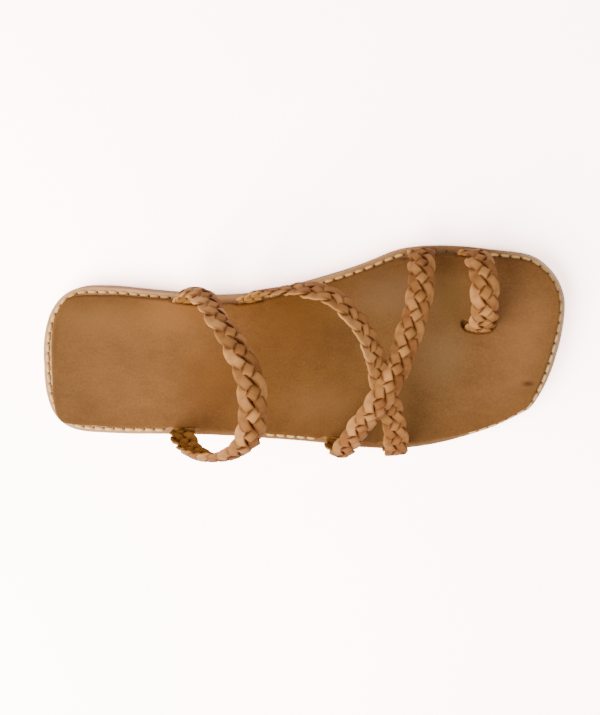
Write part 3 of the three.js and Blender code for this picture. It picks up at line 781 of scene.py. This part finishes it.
# %% Strap lines
CURVE_STEPS = 40
LINE_STEP = 0.5


def s_curve(t):
    """A smooth step from 0 to 1, level at both ends: three squares less two cubes."""
    return t**2 * (3 - 2 * t)


def unit(vectors):
    """Vectors brought to length 1."""
    return vectors / np.linalg.norm(vectors, axis=-1, keepdims=True)


def square_to(vectors, ahead):
    """Unit vectors square to a direction: the part that runs along it is taken away."""
    return unit(vectors - (vectors * ahead).sum(axis=-1, keepdims=True) * ahead)


def curve_through(rows):
    """A centripetal Catmull-Rom curve through the rows' points, with their angles eased between."""
    place = rows[:, :3]
    knots = np.concatenate([[2 * place[0] - place[1]], place, [2 * place[-1] - place[-2]]])
    gaps = np.sqrt(np.linalg.norm(np.diff(knots, axis=0), axis=1))[:, None]
    before, here, after = gaps[:-2], gaps[1:-1], gaps[2:]
    p0, p1, p2, p3 = knots[:-3], knots[1:-2], knots[2:-1], knots[3:]
    leave = (p1 - p0) / before - (p2 - p0) / (before + here) + (p2 - p1) / here
    arrive = (p2 - p1) / here - (p3 - p1) / (here + after) + (p3 - p2) / after
    t = np.linspace(0, 1, CURVE_STEPS, endpoint=False)[None, :, None]
    ease = s_curve(t)
    bend = t * (1 - t) ** 2 * leave[:, None] - t**2 * (1 - t) * arrive[:, None]
    curve = p1[:, None] * (1 - ease) + p2[:, None] * ease + bend * here[:, None]
    turns = rows[:-1, None, 3:] * (1 - ease) + rows[1:, None, 3:] * ease
    points = np.concatenate([curve.reshape(-1, 3), place[-1:]])
    return points, np.concatenate([turns.reshape(-1, 2), rows[-1:, 3:]])


def strap_line(strap):
    """The strap's curve at even steps, with the direction of its width and its outward normal."""
    dense, dense_turns = curve_through(strap_rows(strap))
    run = np.r_[0, np.cumsum(np.linalg.norm(np.diff(dense, axis=0), axis=1))]
    even = np.linspace(0, run[-1], int(run[-1] / LINE_STEP) + 1)
    point = np.stack([np.interp(even, run, dense[:, axis]) for axis in range(3)], axis=1)
    face, tilt = (np.radians(np.interp(even, run, dense_turns[:, column])) for column in range(2))
    normal = np.stack([np.sin(tilt), np.cos(tilt) * np.cos(face), np.cos(tilt) * np.sin(face)], axis=1)
    ahead = unit(np.gradient(point, axis=0))
    normal = square_to(normal, ahead)
    return {"run": even, "point": point, "normal": normal, "width": np.cross(normal, ahead)}


print("straps", [round(float(strap_line(strap)["run"][-1])) for strap in STRAPS], "mm long")

# %% [markdown]
# ## Strap leather
# The strips are smooth tan leather, cut from a hide, so one strip is a little darker than the next.
# A strap's tone along it is partly painted light, and across it the toe side is painted darker, as
# shade. Shade is also painted into the gaps between strips, at their edges and where they dip. The
# flesh side is yellower and lighter, which partly paints light onto inner faces that lie in shade.
# Painting this on an image would need an unwrapped mesh. Here the mesh carries three marks at its
# points: the tone, the painted shade from how deep in the braid a point lies, and whether it faces in.

# %% Strap finish
TAN_LIGHT = linear(233, 172, 106)
TAN_PALE = linear(221, 157, 93)
TAN = linear(174, 119, 66)
TAN_DEEP = linear(136, 83, 44)
# Inner faces get a yellower, lighter tan: the flesh side, and partly painted light on faces in shade.
INNER_TAN_AND_PAINTED_LIGHT = linear(190, 136, 66)
# The brown of the painted shade in the gaps, at strip edges and where strips dip.
PAINTED_SHADE_BROWN = linear(86, 42, 14)
CLOUD_TANS = [(0.3, TAN_DEEP), (0.5, TAN), (0.72, TAN_PALE)]
STRIP_TANS = [(0.0, TAN_DEEP), (0.42, TAN), (0.8, TAN_PALE), (1.0, TAN_LIGHT)]
STRIP_TONE_SHARE = 0.62
INNER_SHARE = 0.8
STRAP_CLOUDS = 140.0
STRAP_GRAIN = 1400.0
STRAP_GRAIN_DEPTH = 0.13

strap_finish, strap_tree, strap_shader = new_finish("strap_leather", roughness=0.55, specular=0.13)
strap_shader.inputs["Specular Tint"].default_value = linear(255, 214, 170)
strap_place = object_place(strap_tree)
strap_cloud = noise(strap_tree, strap_place, STRAP_CLOUDS, detail=4.0)
strap_colour = ramp(strap_tree, strap_cloud, CLOUD_TANS)
strap_strip = ramp(strap_tree, mark(strap_tree, "tone"), STRIP_TANS)
strap_colour = mix(strap_tree, STRIP_TONE_SHARE, strap_colour, strap_strip)
strap_inner = put(
    strap_tree, "ShaderNodeMath", {0: mark(strap_tree, "inner")}, {1: INNER_SHARE}, operation="MULTIPLY")
strap_colour = mix(strap_tree, strap_inner.outputs["Value"], strap_colour, INNER_TAN_AND_PAINTED_LIGHT)
# Painted shade: brown mixed in by how deep in the braid a point lies and how near a strip's edge.
strap_colour = mix(strap_tree, mark(strap_tree, "painted_gap_shade"), strap_colour, PAINTED_SHADE_BROWN)
strap_tree.links.new(strap_colour, strap_shader.inputs["Base Color"])
strap_grain = noise(strap_tree, strap_place, STRAP_GRAIN, detail=4.0, rough=0.6)
bump(strap_tree, strap_shader, strap_grain, STRAP_GRAIN_DEPTH)
print("strap leather ready")

# %% [markdown]
# ## Braids
# Each strap is a flat braid of four strips. A strip crosses from one edge to the other and back, over
# one and under one, and it is the same path for all four, each a quarter of the repeat later. Braiding
# four curves by hand would take long and never repeat well, so the path is a formula in two parts: a
# zigzag across the strap with rounded turns, and a height that is high where the strip lies over
# another and low where it lies under. A rounded strip section is carried along it.

# %% Strip path
STRIPS = 4
REPEAT = 8
STRIP_LAG = REPEAT / STRIPS
OUTER_COLUMN = 2
TURN_FROM = 1.0
TURN_REACH = 0.48
CROSSING_STEEPNESS = 1.6
OVER_UNDER = np.array([0.25, 1.0, -1.0, 1.0, 0.25, -1.0, 1.0, -1.0])


def braid_across(phase):
    """A zigzag from -2 to 2 columns over eight steps, its turns rounded off by a power law."""
    swing = np.abs((phase + REPEAT / 2) % REPEAT - REPEAT / 2) - OUTER_COLUMN
    size = np.abs(swing)
    beyond = np.clip((size - TURN_FROM) / (OUTER_COLUMN - TURN_FROM), 0, 1)
    power = (OUTER_COLUMN - TURN_FROM) / TURN_REACH
    rounded = TURN_FROM + TURN_REACH * (1 - (1 - beyond) ** power)
    return np.sign(swing) * np.where(size > TURN_FROM, rounded, size)


def braid_height(phase):
    """High over a crossing and low under one, level for a while at each, with an S-curve between."""
    step = np.floor(phase).astype(int)
    ease = s_curve(np.clip((phase - step - 0.5) * CROSSING_STEEPNESS + 0.5, 0, 1))
    return OVER_UNDER[step % REPEAT] * (1 - ease) + OVER_UNDER[(step + 1) % REPEAT] * ease


one_repeat = np.linspace(0, REPEAT, 10 * REPEAT + 1)
print("a strip swings to", round(float(braid_across(one_repeat).max()), 2), "columns each side")

# %% Braid on a strap
COLUMN_SHARE = 0.435
WEAVE_HEIGHT = 0.86
SLACK = 0.06
TAIL_FLAT_TO = 13.5
TAIL_FLATNESS = 0.62
FLAT_EASE = 4.0
CURL_REACH = 14.0
SLOT_CURL = (8.0, 6.0)
LEAST_CURL = 0.01


def end_flatness(run):
    """Share of the full thickness: less at both ends, where the footbed presses on the tail."""
    ends = np.minimum(run, run[-1] - run)
    ease = np.clip((ends - TAIL_FLAT_TO + FLAT_EASE) / FLAT_EASE, 0, 1)
    return TAIL_FLATNESS + (1 - TAIL_FLATNESS) * ease


def strap_curl(run, in_slot):
    """Share of the full curl: none at a tail, rising along the leg; a slot holds its end curled."""
    far_flat, far_reach = SLOT_CURL if in_slot else (TAIL_FLAT_TO, CURL_REACH)
    near = (run - TAIL_FLAT_TO) / CURL_REACH
    far = (run[-1] - run - far_flat) / far_reach
    return np.clip(np.minimum(near, far), LEAST_CURL, 1)


def braid_path(line, strap):
    """Middle of each strip: across by the zigzag and out by the weave, on a face curled to an arc."""
    run = line["run"]
    strip = np.arange(STRIPS)[:, None]
    phase = strap["start"] + run * strap["steps"] / run[-1] + STRIP_LAG * strip
    slack = 1 + SLACK * np.cos(np.pi * strip)
    across = COLUMN_SHARE * strap["half"] * braid_across(phase) * slack
    height = WEAVE_HEIGHT * braid_height(phase) * end_flatness(run)
    curl = np.radians(strap["curl"]) * strap_curl(run, in_slot="lateral" not in strap["legs"])
    radius = strap["half"] / curl
    lean = (across / radius)[..., None]
    outward = np.cos(lean) * line["normal"] + np.sin(lean) * line["width"]
    middle = line["point"] - radius[:, None] * line["normal"] + (radius + height)[..., None] * outward
    return middle, outward, across, radius


print("strips rise and sink", WEAVE_HEIGHT, "mm from the strap's face")

# %% Strip tone and shade
TONE_PLACES = (0.2, 0.52, 0.72)
# Painted shade: a strap is darker to its toe side, away from the heel window.
TOE_SIDE_SHADE = 0.24
PAIR_TONE = 0.16
STRIP_TONE = 0.12
STRIP_TONE_STEP = 2.4
WANDER_TONE = 0.14
WANDER_LENGTH = 9.0
WANDER_STEP = 1.7
INNER_FROM = -0.1
# Each has the measure where a painted shade starts to change, and the reach over which it does.
GAP_DEPTH = (-0.1, 0.95)
WEAVE_DEPTH = (0.5, 1.05)
STRIP_EDGE = (0.6, 0.34)
STRAP_EDGE = (0.7, 0.2)
STRIP_EDGE_SHADE = 0.92
SOFT_SHADE = 0.42
STRAP_EDGE_RELIEF = 0.9


def rising(value, start, reach):
    """0 up to a start, then straight up to 1 over a reach."""
    return np.clip((value - start) / reach, 0, 1)


def strip_tone(run, across, strap):
    """Lightness: the table along the run (partly painted light), painted toe-side shade, sines for each
    strip.
    """
    strip = np.arange(STRIPS)[:, None]
    hide = strap["hide"]
    tone = np.interp(run / run[-1], TONE_PLACES, strap["tone"])
    tone = tone - TOE_SIDE_SHADE * across / strap["half"]
    tone = tone + PAIR_TONE * np.cos(np.pi * strip) + STRIP_TONE * np.sin(hide + strip * STRIP_TONE_STEP)
    return tone + WANDER_TONE * np.sin(run / WANDER_LENGTH + (hide + strip) * WANDER_STEP)


def braid_painted_shade(points, line, half, radius, section_across):
    """Painted shade: most in the gaps and at a strip's edges, soft where a strip dips, little at the
    strap's edges.
    """
    away = points - line["point"][None, :, None]
    rise = (away * line["normal"][None, :, None]).sum(axis=-1) + radius[None, :, None]
    reach = (away * line["width"][None, :, None]).sum(axis=-1)
    out = np.abs(np.hypot(rise, reach) - radius[None, :, None])
    across = np.abs(np.arctan2(reach, rise)) * radius[None, :, None]
    strip_side = np.abs(section_across)
    deep = s_curve(1 - rising(out, *GAP_DEPTH))
    low = 1 - rising(out, *WEAVE_DEPTH)
    soft = SOFT_SHADE * np.maximum(low, np.broadcast_to(strip_side**3, out.shape))
    shade = np.maximum(np.maximum(deep, STRIP_EDGE_SHADE * rising(strip_side, *STRIP_EDGE)), soft)
    return shade * (1 - STRAP_EDGE_RELIEF * rising(across / half, *STRAP_EDGE))


print("tones are set at", TONE_PLACES, "of a strap's length")

# %% Braid pieces
STRIP_SHARE = 0.385
STRIP_HALF_THICKNESS = 0.68
SECTION_POINTS = 20
SECTION_POWERS = (0.55, 0.62)


def signed_power(value, power):
    """A power of the size, with the sign kept."""
    return np.sign(value) * np.abs(value) ** power


def strip_section():
    """A flat rounded section: a superellipse, domed on both faces."""
    angle = np.linspace(0, 2 * np.pi, SECTION_POINTS, endpoint=False)
    across_power, out_power = SECTION_POWERS
    return signed_power(np.cos(angle), across_power), signed_power(np.sin(angle), out_power)


def braid_points(strap):
    """Points of four strips along one strap: the section carried along each path, closed at its ends."""
    line = strap_line(strap)
    run = line["run"]
    middle, outward, across, radius = braid_path(line, strap)
    ahead = unit(np.gradient(middle, axis=1))
    normal = square_to(outward, ahead)
    side = np.cross(normal, ahead)
    section_across, section_out = strip_section()
    station = np.arange(len(run))
    closing = np.clip(np.minimum(station, station[::-1]), 0, 1)
    wide = STRIP_SHARE * strap["half"] * closing[None, :, None, None] * section_across[:, None]
    thickness = STRIP_HALF_THICKNESS * (end_flatness(run) * closing)
    thick = thickness[None, :, None, None] * section_out[:, None]
    points = middle[:, :, None] + side[:, :, None] * wide + normal[:, :, None] * thick
    marks = {
        "painted_gap_shade": braid_painted_shade(points, line, strap["half"], radius, section_across),
        "tone": np.broadcast_to(strip_tone(run, across, strap)[..., None], points.shape[:3]),
        "inner": np.broadcast_to(section_out < INNER_FROM, points.shape[:3]),
    }
    return points, marks


def braid_piece(name, piece_straps):
    """All strips of one or more straps as one piece."""
    points, quads, marks = [], [], {}
    first = 0
    for strap in piece_straps:
        strips, strip_marks = braid_points(strap)
        strip_points = strips.shape[1] * SECTION_POINTS
        strip_first = first + np.arange(STRIPS)[:, None, None] * strip_points
        quads.append((grid_quads(strips.shape[1], SECTION_POINTS) + strip_first).reshape(-1, 4))
        points.append(strips.reshape(-1, 3))
        first += STRIPS * strip_points
        for mark_name, values in strip_marks.items():
            marks.setdefault(mark_name, []).append(values.ravel())
    marks = {mark_name: np.concatenate(values) for mark_name, values in marks.items()}
    points = np.concatenate(points)
    corners = np.concatenate(quads)
    make_piece(name + "_braid", points, corners, strap_finish, [name], marks)


braid_piece("back_strap", [BACK_STRAP])
braid_piece("cross_straps", [REAR_CROSS, FRONT_CROSS])
braid_piece("toe_loop", [TOE_LOOP])

# %% [markdown]
# ## Footbed leather
# The footbed is brown nubuck, oiled and rubbed. It is paler at the heel and warmer in the middle, with
# soft cloudy patches, a fine nap and a few darker rubs. One noise alone would look like camouflage. So
# a ramp along the length sets the broad colour, three sizes of noise break it up, the edge is a little
# burnished, and a few large soft ovals stand for wear and oil, but the paler one at the ball, between
# the front straps, is painted light where their shadows fall.

# %% Footbed tones
FOOTBED_TONES = [
    (0.03, linear(138, 94, 44)), (0.1, linear(136, 90, 42)), (0.26, linear(148, 98, 47)),
    (0.42, linear(135, 87, 28)), (0.52, linear(133, 87, 29)), (0.7, linear(132, 91, 43)),
    (0.86, linear(138, 93, 47)), (0.97, linear(144, 100, 55))]
PATCH_STOPS = [(0.34, linear(229, 227, 214)), (0.5, linear(247, 247, 243)), (0.66, WHITE)]
RUB_STOPS = [(0.34, linear(240, 237, 229)), (0.5, linear(249, 248, 245)), (0.68, WHITE)]
SPECK_STOPS = [(0.36, linear(236, 232, 226)), (0.62, WHITE)]
BURNISH_STOPS = [(0.0, linear(246, 240, 222)), (0.14, linear(240, 232, 206)), (0.85, WHITE)]
SPOTS = [
    {"place": (-100.0, 16.0), "half": (34.0, 16.0), "colour": linear(150, 102, 50), "strength": 0.4},
    {"place": (-62.0, 18.0), "half": (30.0, 15.0), "colour": linear(164, 108, 50), "strength": 0.5},
    {"place": (-44.0, -16.0), "half": (26.0, 26.0), "colour": linear(120, 69, 4), "strength": 0.55},
    {"place": (-4.0, 14.0), "half": (30.0, 24.0), "colour": linear(118, 69, 6), "strength": 0.45},
    {"place": (8.0, -27.0), "half": (27.0, 17.0), "colour": linear(150, 101, 56), "strength": 0.4},
    {"place": (40.0, -36.0), "half": (48.0, 14.0), "colour": linear(111, 75, 25), "strength": 0.43},
    {"place": (48.0, 27.0), "half": (40.0, 19.0), "colour": linear(148, 108, 70), "strength": 0.5},
    {"place": (68.0, -2.0), "half": (20.0, 24.0), "colour": linear(148, 114, 70), "strength": 0.5},
    # This paler spot at the ball, between the front straps, is painted light where their shadows fall.
    {"place": (73.0, 25.0), "half": (15.0, 20.0), "colour": linear(150, 112, 50), "strength": 0.4},
    {"place": (107.0, 4.0), "half": (20.0, 34.0), "colour": linear(157, 103, 59), "strength": 0.34},
    {"place": (111.0, -16.0), "half": (4.6, 2.2), "colour": linear(78, 42, 12), "strength": 0.85},
]
print(len(SPOTS), "soft spots")

# %% Footbed finish
RUB_STRETCH = (110.0, 190.0, 110.0)
PATCH_CLOUDS = 26.0
SPECK_CLOUDS = 900.0
NAP_CLOUDS = 1100.0
NAP_DEPTH = 0.14


def soft_spot(tree, place, half, strength):
    """A number that is the strength in the middle of an oval spot and falls to 0 at its edge."""
    centre = (place[0] * MM, place[1] * MM, 0.0)
    shrink = (1 / (half[0] * MM), 1 / (half[1] * MM), 0.0)
    kind = "ShaderNodeVectorMath"
    away = put(tree, kind, {0: object_place(tree)}, {1: centre}, operation="SUBTRACT")
    away = put(tree, kind, {0: away.outputs["Vector"]}, {1: shrink}, operation="MULTIPLY")
    size = put(tree, kind, {0: away.outputs["Vector"]}, operation="LENGTH")
    size_link = {"Value": size.outputs["Value"]}
    fade = {"To Min": strength, "To Max": 0.0}
    fall = put(tree, "ShaderNodeMapRange", size_link, fade, interpolation_type="SMOOTHSTEP")
    return fall.outputs["Result"]


footbed_finish, footbed_tree, footbed_shader = new_finish("footbed_nubuck", roughness=0.72, specular=0.25)
footbed_place = object_place(footbed_tree)
footbed_clouds = noise(footbed_tree, footbed_place, PATCH_CLOUDS, detail=4.0)
footbed_streaks = object_place(footbed_tree, RUB_STRETCH)
footbed_rubs = noise(footbed_tree, footbed_streaks, 1.0, detail=5.0, rough=0.65)
footbed_specks = noise(footbed_tree, footbed_place, SPECK_CLOUDS, detail=3.0, rough=0.7)
footbed_covers = [
    (footbed_clouds, PATCH_STOPS), (footbed_rubs, RUB_STOPS), (footbed_specks, SPECK_STOPS),
    (mark(footbed_tree, "inward"), BURNISH_STOPS)]
footbed_colour = ramp(footbed_tree, share_of(footbed_tree, "X", LENGTHWISE), FOOTBED_TONES)
for cover, cover_stops in footbed_covers:
    footbed_cover = ramp(footbed_tree, cover, cover_stops)
    footbed_colour = mix(footbed_tree, 1.0, footbed_colour, footbed_cover, "MULTIPLY")
for spot in SPOTS:
    spot_share = soft_spot(footbed_tree, spot["place"], spot["half"], spot["strength"])
    footbed_colour = mix(footbed_tree, spot_share, footbed_colour, spot["colour"])
footbed_tree.links.new(footbed_colour, footbed_shader.inputs["Base Color"])
footbed_nap = noise(footbed_tree, footbed_place, NAP_CLOUDS, detail=5.0, rough=0.65)
bump(footbed_tree, footbed_shader, footbed_nap, NAP_DEPTH)
print("footbed leather ready")

# %% [markdown]
# ## Footbed
# The footbed is one soft sheet with a rolled edge. It lies over the strap tails, so its edge swells a
# little at each, and it curls up at heel and toe. A cloth simulation could drape it, but its rise is
# known from the straps, so it is again a profile carried round an outline, drawn in from the sole's
# edge by the rim. Where the toe loop dives in, the sheet is pushed down in a slot.

# %% Footbed rise
HEEL_CURL_REACH = 24.0
HEEL_CURL = 2.0
TOE_CURL_REACH = 24.0
TOE_CURL = 1.2
SWELL_SPREAD = 17.0
SWELL_REACH = 26.0
SLOT_DEPTH = 2.9
SLOT_ROUND = 1.9
SLOT_BOW = 2.0
SLOT_LIP = 0.8
SLOT_SAG = 0.35
SLOT_SAG_REACH = 3.0
NOTCH_INSET = 4.5
NOTCH_EASE = 3.0
NOTCH_CLEAR = 0.4
EDGE_NEAR = 1.0


def fading(distance, reach):
    """A square-law fade from 1 to 0 over a reach."""
    return np.clip(1 - distance / reach, 0, 1) ** 2


def footbed_rise(along, across):
    """How far the sheet is lifted: the highest of the end curls and the bell-shaped strap swells."""
    rise = HEEL_CURL * fading(along - HEEL_RIM, HEEL_CURL_REACH)
    rise = np.maximum(rise, TOE_CURL * fading(LENGTH - TOE_RIM - along, TOE_CURL_REACH))
    for strap, side in LEGS:
        near = np.exp(-(((along - strap["legs"][side]) / SWELL_SPREAD) ** 2))
        inside = np.abs(edge_at(side, along, "bed") - across)
        rise = np.maximum(rise, strap["swell"][side] * near * fading(inside, SWELL_REACH))
    return rise


def leg_notch(ring):
    """How far the edge is drawn in behind each leg: flat over the strap, easing out to both sides."""
    along = ring[:, 0] + HALF_LENGTH
    notch = np.zeros(len(ring))
    for strap, side in LEGS:
        beyond = np.abs(along - strap["legs"][side]) - strap["half"] - NOTCH_CLEAR
        ease = np.clip(1 - beyond / NOTCH_EASE, 0, 1)
        depth = NOTCH_INSET - section_value("rim_" + side, along)
        on_side = (ring[:, 1] - edge_at(side, along, "bed")) * OUTWARD[side] > -EDGE_NEAR
        notch = np.maximum(notch, on_side * depth * s_curve(ease))
    return notch


def slot_drop(x, y):
    """The toe loop's slot: a bowed long hole with round ends, pushed down, its lips sagging softly."""
    half_length, half_width = TOE_SLOT["length"] / 2, TOE_SLOT["width"] / 2
    bow = SLOT_BOW * ((x - TOE_SLOT["x"]) / half_length) ** 2
    away_x = np.abs(x - TOE_SLOT["x"] + TOE_SLOT["behind"]) - (half_length - SLOT_ROUND)
    away_y = np.abs(y - TOE_SLOT["y"] - bow) - (half_width - SLOT_ROUND)
    away = np.hypot(np.clip(away_x, 0, None), np.clip(away_y, 0, None)) - SLOT_ROUND
    hole = SLOT_DEPTH * s_curve(np.clip(0.5 - away / SLOT_LIP, 0, 1))
    return hole + SLOT_SAG * np.exp(-np.clip(away, 0, None) / SLOT_SAG_REACH)


print("slot drops", round(float(slot_drop(TOE_SLOT["x"], TOE_SLOT["y"])), 2), "mm")

# %% Footbed sheet
FOOTBED_BOTTOM = MIDSOLE_TOP + LAYER_GAP
FOOTBED_THICK = 3.2
FOOTBED_EDGE = 2.3
FOOTBED_COUNT = 400
FOOTBED_ROLL = 1.9
ROLL_STEPS = 13
ROLL_MIDDLE = 0.45
ROLL_POWER = 0.9
UNDERSIDE_PULLS = np.array([1.0, 0.6, 0.3])
SHOULDER_INSET = 2.6
SURFACE_INSET = 3.2
SURFACE_PULLS = np.linspace(0.0, 1.0, 58)
EDGE_SLOPE = 12.0
EDGE_REACH = 16.0
EDGE_HEIGHT = 1.0
EDGE_WAVER = 0.3
EDGE_SEED = 6.0
RIPPLE = 0.12
RIPPLE_SLANT = 0.7
RIPPLE_SEED = 9.0


def footbed_profile():
    """Rows of inset, pull, height and share of the top: flat underside, rolled edge, then the top."""
    roll = np.linspace(-np.pi / 2, np.pi / 2, ROLL_STEPS)
    middle = FOOTBED_EDGE * ROLL_MIDDLE
    out = FOOTBED_ROLL * (1 - np.cos(roll) ** ROLL_POWER)
    up = np.where(roll < 0, middle * (1 + np.sin(roll)), middle + (FOOTBED_EDGE - middle) * np.sin(roll))
    rows = [profile_rows(FOOTBED_ROLL, UNDERSIDE_PULLS, 0.0, 0.0), profile_rows(out, 0.0, up, 0.0)]
    rows += [profile_rows(SHOULDER_INSET, 0.0, FOOTBED_EDGE, 1.0)]
    rows += [profile_rows(SURFACE_INSET, SURFACE_PULLS, FOOTBED_EDGE, 1.0)]
    return np.concatenate(rows)


def make_footbed():
    """Carries the profile round the drawn-in outline and lifts it where the sheet rises."""
    ring = outline_ring(HEEL_RIM, LENGTH - TOE_RIM, "bed", FOOTBED_COUNT)
    outward = ring_outward(ring)
    middle = ring_middle(ring, HEEL_RIM, LENGTH - TOE_RIM, "bed")
    profile = footbed_profile()
    inset, pull, height, on_top = (profile[:, column, None] for column in range(4))
    loose = EDGE_WAVER * waver(ring_run(ring), EDGE_SEED) * (pull == 0) + leg_notch(ring)
    place = ring - (inset + loose)[..., None] * outward
    place = place * (1 - pull[..., None]) + middle * pull[..., None]
    x, y = place[..., 0], place[..., 1]
    along = x + HALF_LENGTH
    ripple = RIPPLE * waver(x + RIPPLE_SLANT * y, RIPPLE_SEED) * on_top
    from_edge = inset + pull * np.linalg.norm(ring - middle, axis=1)
    inward = np.where(pull > 0, from_edge, inset * (height > EDGE_HEIGHT))
    bulk = (FOOTBED_THICK - FOOTBED_EDGE) * (1 - fading(inward - FOOTBED_ROLL, EDGE_SLOPE)) * on_top
    rise = footbed_rise(along, y) + ripple + bulk
    z = FOOTBED_BOTTOM + height + spring_at(along) + rise - slot_drop(x, y) * on_top
    points = np.concatenate([place, z[..., None]], axis=-1)
    quads = grid_quads(*points.shape[:2])
    marks = {"inward": np.clip(inward / EDGE_REACH, 0, 1)}
    make_piece("footbed_sheet", points, quads, footbed_finish, ["footbed"], marks)


make_footbed()

# %% [markdown]
# ## Stitches
# A row of thick cream thread runs round the rim, close to the footbed, in a shallow groove. It is seen
# as short plump stitches with a dark hole between each pair; each hole is a flat dark body, painted
# shade. An array of one stitch along a curve would bend it badly at the heel and toe, so every stitch
# is a spindle worked out along the outline. Where a strap leg or the swollen footbed covers the rim,
# the thread is hidden and left out. On a short run at the ball of the foot the thread lies sunk in the
# leather, so only its holes are seen.

# %% Stitch finishes
THREAD_STOPS = [(0.3, linear(252, 196, 116)), (0.7, linear(255, 222, 160))]
# The thread is a little darker towards the medial side.
MEDIAL_THREAD_STOPS = [(0.55, WHITE), (0.8, linear(252, 236, 214))]
# The holes' colour is painted shade: dark bodies stand where the holes lie in shadow.
HOLE_SHADE_STOPS = [(0.3, linear(108, 74, 44)), (0.7, linear(142, 100, 62))]
THREAD_CLOUDS = 420.0
HOLE_CLOUDS = 500.0
TWIST_STRETCH = (2600.0, 700.0, 2600.0)
TWIST_DEPTH = 0.12

thread_finish, thread_tree, thread_shader = new_finish("cream_thread", roughness=0.8, specular=0.1)
thread_cloud = noise(thread_tree, object_place(thread_tree), THREAD_CLOUDS)
thread_colour = ramp(thread_tree, thread_cloud, THREAD_STOPS)
thread_medial_tint = ramp(thread_tree, share_of(thread_tree, "Y", CROSSWISE), MEDIAL_THREAD_STOPS)
thread_colour = mix(thread_tree, 1.0, thread_colour, thread_medial_tint, "MULTIPLY")
thread_tree.links.new(thread_colour, thread_shader.inputs["Base Color"])
thread_twist = noise(thread_tree, object_place(thread_tree, TWIST_STRETCH), 1.0, detail=2.0)
bump(thread_tree, thread_shader, thread_twist, TWIST_DEPTH)

hole_shade_finish, hole_tree, hole_shader = new_finish("painted_hole_shade", roughness=0.9, specular=0.1)
hole_cloud = noise(hole_tree, object_place(hole_tree), HOLE_CLOUDS)
hole_tree.links.new(ramp(hole_tree, hole_cloud, HOLE_SHADE_STOPS), hole_shader.inputs["Base Color"])
print("thread and holes ready")

# %% Stitch line
STITCH_PITCH = 5.1
STITCH_CLEAR = 0.85
STITCH_LINE_COUNT = 700
LEG_CLEAR = 7.4
COVERED_RUNS = [("medial", 66.0, 97.0), ("lateral", 62.0, 111.0), ("lateral", 134.0, 211.0)]
SUNK_RUN = ("medial", 187.0, 209.0)


def stitch_line():
    """The stitching line: the outline drawn in, less where the rim is narrow, with distance round it."""
    ring = outline_ring(0, LENGTH, "sole", STITCH_LINE_COUNT)
    along = ring[:, 0] + HALF_LENGTH
    rims = {side: section_value("rim_" + side, along) for side in OUTWARD}
    rim = np.where(ring[:, 1] > 0, rims["medial"], rims["lateral"])
    inset = np.minimum(STITCH_INSET, rim - STITCH_CLEAR)
    line = ring - inset[:, None] * ring_outward(ring)
    line = np.concatenate([line, line[:1]])
    return line, ring_run(line)


rim_line, rim_run = stitch_line()


def on_line(at):
    """Points on the stitching line at given distances round it."""
    wrapped = at % rim_run[-1]
    return np.stack([np.interp(wrapped, rim_run, rim_line[:, axis]) for axis in range(2)], axis=-1)


def seen_at(at, covered):
    """Of given distances, those where no strap leg stands on the rim and no covered run hides it."""
    place = on_line(at)
    along = place[:, 0] + HALF_LENGTH
    on_side = {"medial": place[:, 1] > 0, "lateral": place[:, 1] <= 0}
    hits = [(np.abs(along - strap["legs"][side]) < LEG_CLEAR) & on_side[side] for strap, side in LEGS]
    hits += [(along > start) & (along < end) & on_side[side] for side, start, end in covered]
    return at[~np.any(hits, axis=0)]


stitch_count = int(round(rim_run[-1] / STITCH_PITCH))
stitch_at = np.arange(stitch_count) * rim_run[-1] / stitch_count
hole_at = stitch_at + rim_run[-1] / stitch_count / 2
stitch_at = seen_at(stitch_at, [*COVERED_RUNS, SUNK_RUN])
hole_at = seen_at(hole_at, COVERED_RUNS)
print(stitch_count, "stitches,", len(stitch_at), "seen, with", len(hole_at), "holes")

# %% Stitch bodies
STITCH = {"rows": 9, "turns": 10, "half": 0.84, "length": 4.5, "squash": 0.85, "shift": 0.0}
HOLE = {"rows": 5, "turns": 8, "half": 0.66, "length": 1.2, "squash": 0.3, "shift": 0.3}
PLUMPNESS = 0.7
SEAT_LIFT = 0.55


def spindles(centres, rows, turns, half, length, squash, shift):
    """Round bodies on short runs of the line: a circle carried along, closing to a point at both ends."""
    share = np.linspace(-1, 1, rows)
    middle = on_line(centres[:, None] + share * length / 2)
    ahead = unit(np.gradient(middle, axis=1))
    out = np.stack([-ahead[..., 1], ahead[..., 0]], axis=-1)
    middle = middle - shift * out
    girth = half * np.sqrt(1 - share**2) ** PLUMPNESS
    angle = np.linspace(0, 2 * np.pi, turns, endpoint=False)
    flat = middle[:, :, None] + out[:, :, None] * (girth[:, None] * np.cos(angle))[..., None]
    seat = MIDSOLE_TOP - GROOVE_DEPTH + spring_at(middle[..., 0] + HALF_LENGTH)
    z = seat[:, :, None] + girth[:, None] * squash * (SEAT_LIFT + np.sin(angle))
    return np.concatenate([flat, z[..., None]], axis=-1)


def spindle_piece(name, bodies, finish):
    """All bodies of one kind as one piece."""
    count, rows, turns = bodies.shape[:3]
    quads = grid_quads(rows, turns)[None] + (np.arange(count) * rows * turns)[:, None, None]
    make_piece(name, bodies, quads.reshape(-1, 4), finish)


spindle_piece("rim_stitches", spindles(stitch_at, **STITCH), thread_finish)
spindle_piece("hole_shade_bodies", spindles(hole_at, **HOLE), hole_shade_finish)
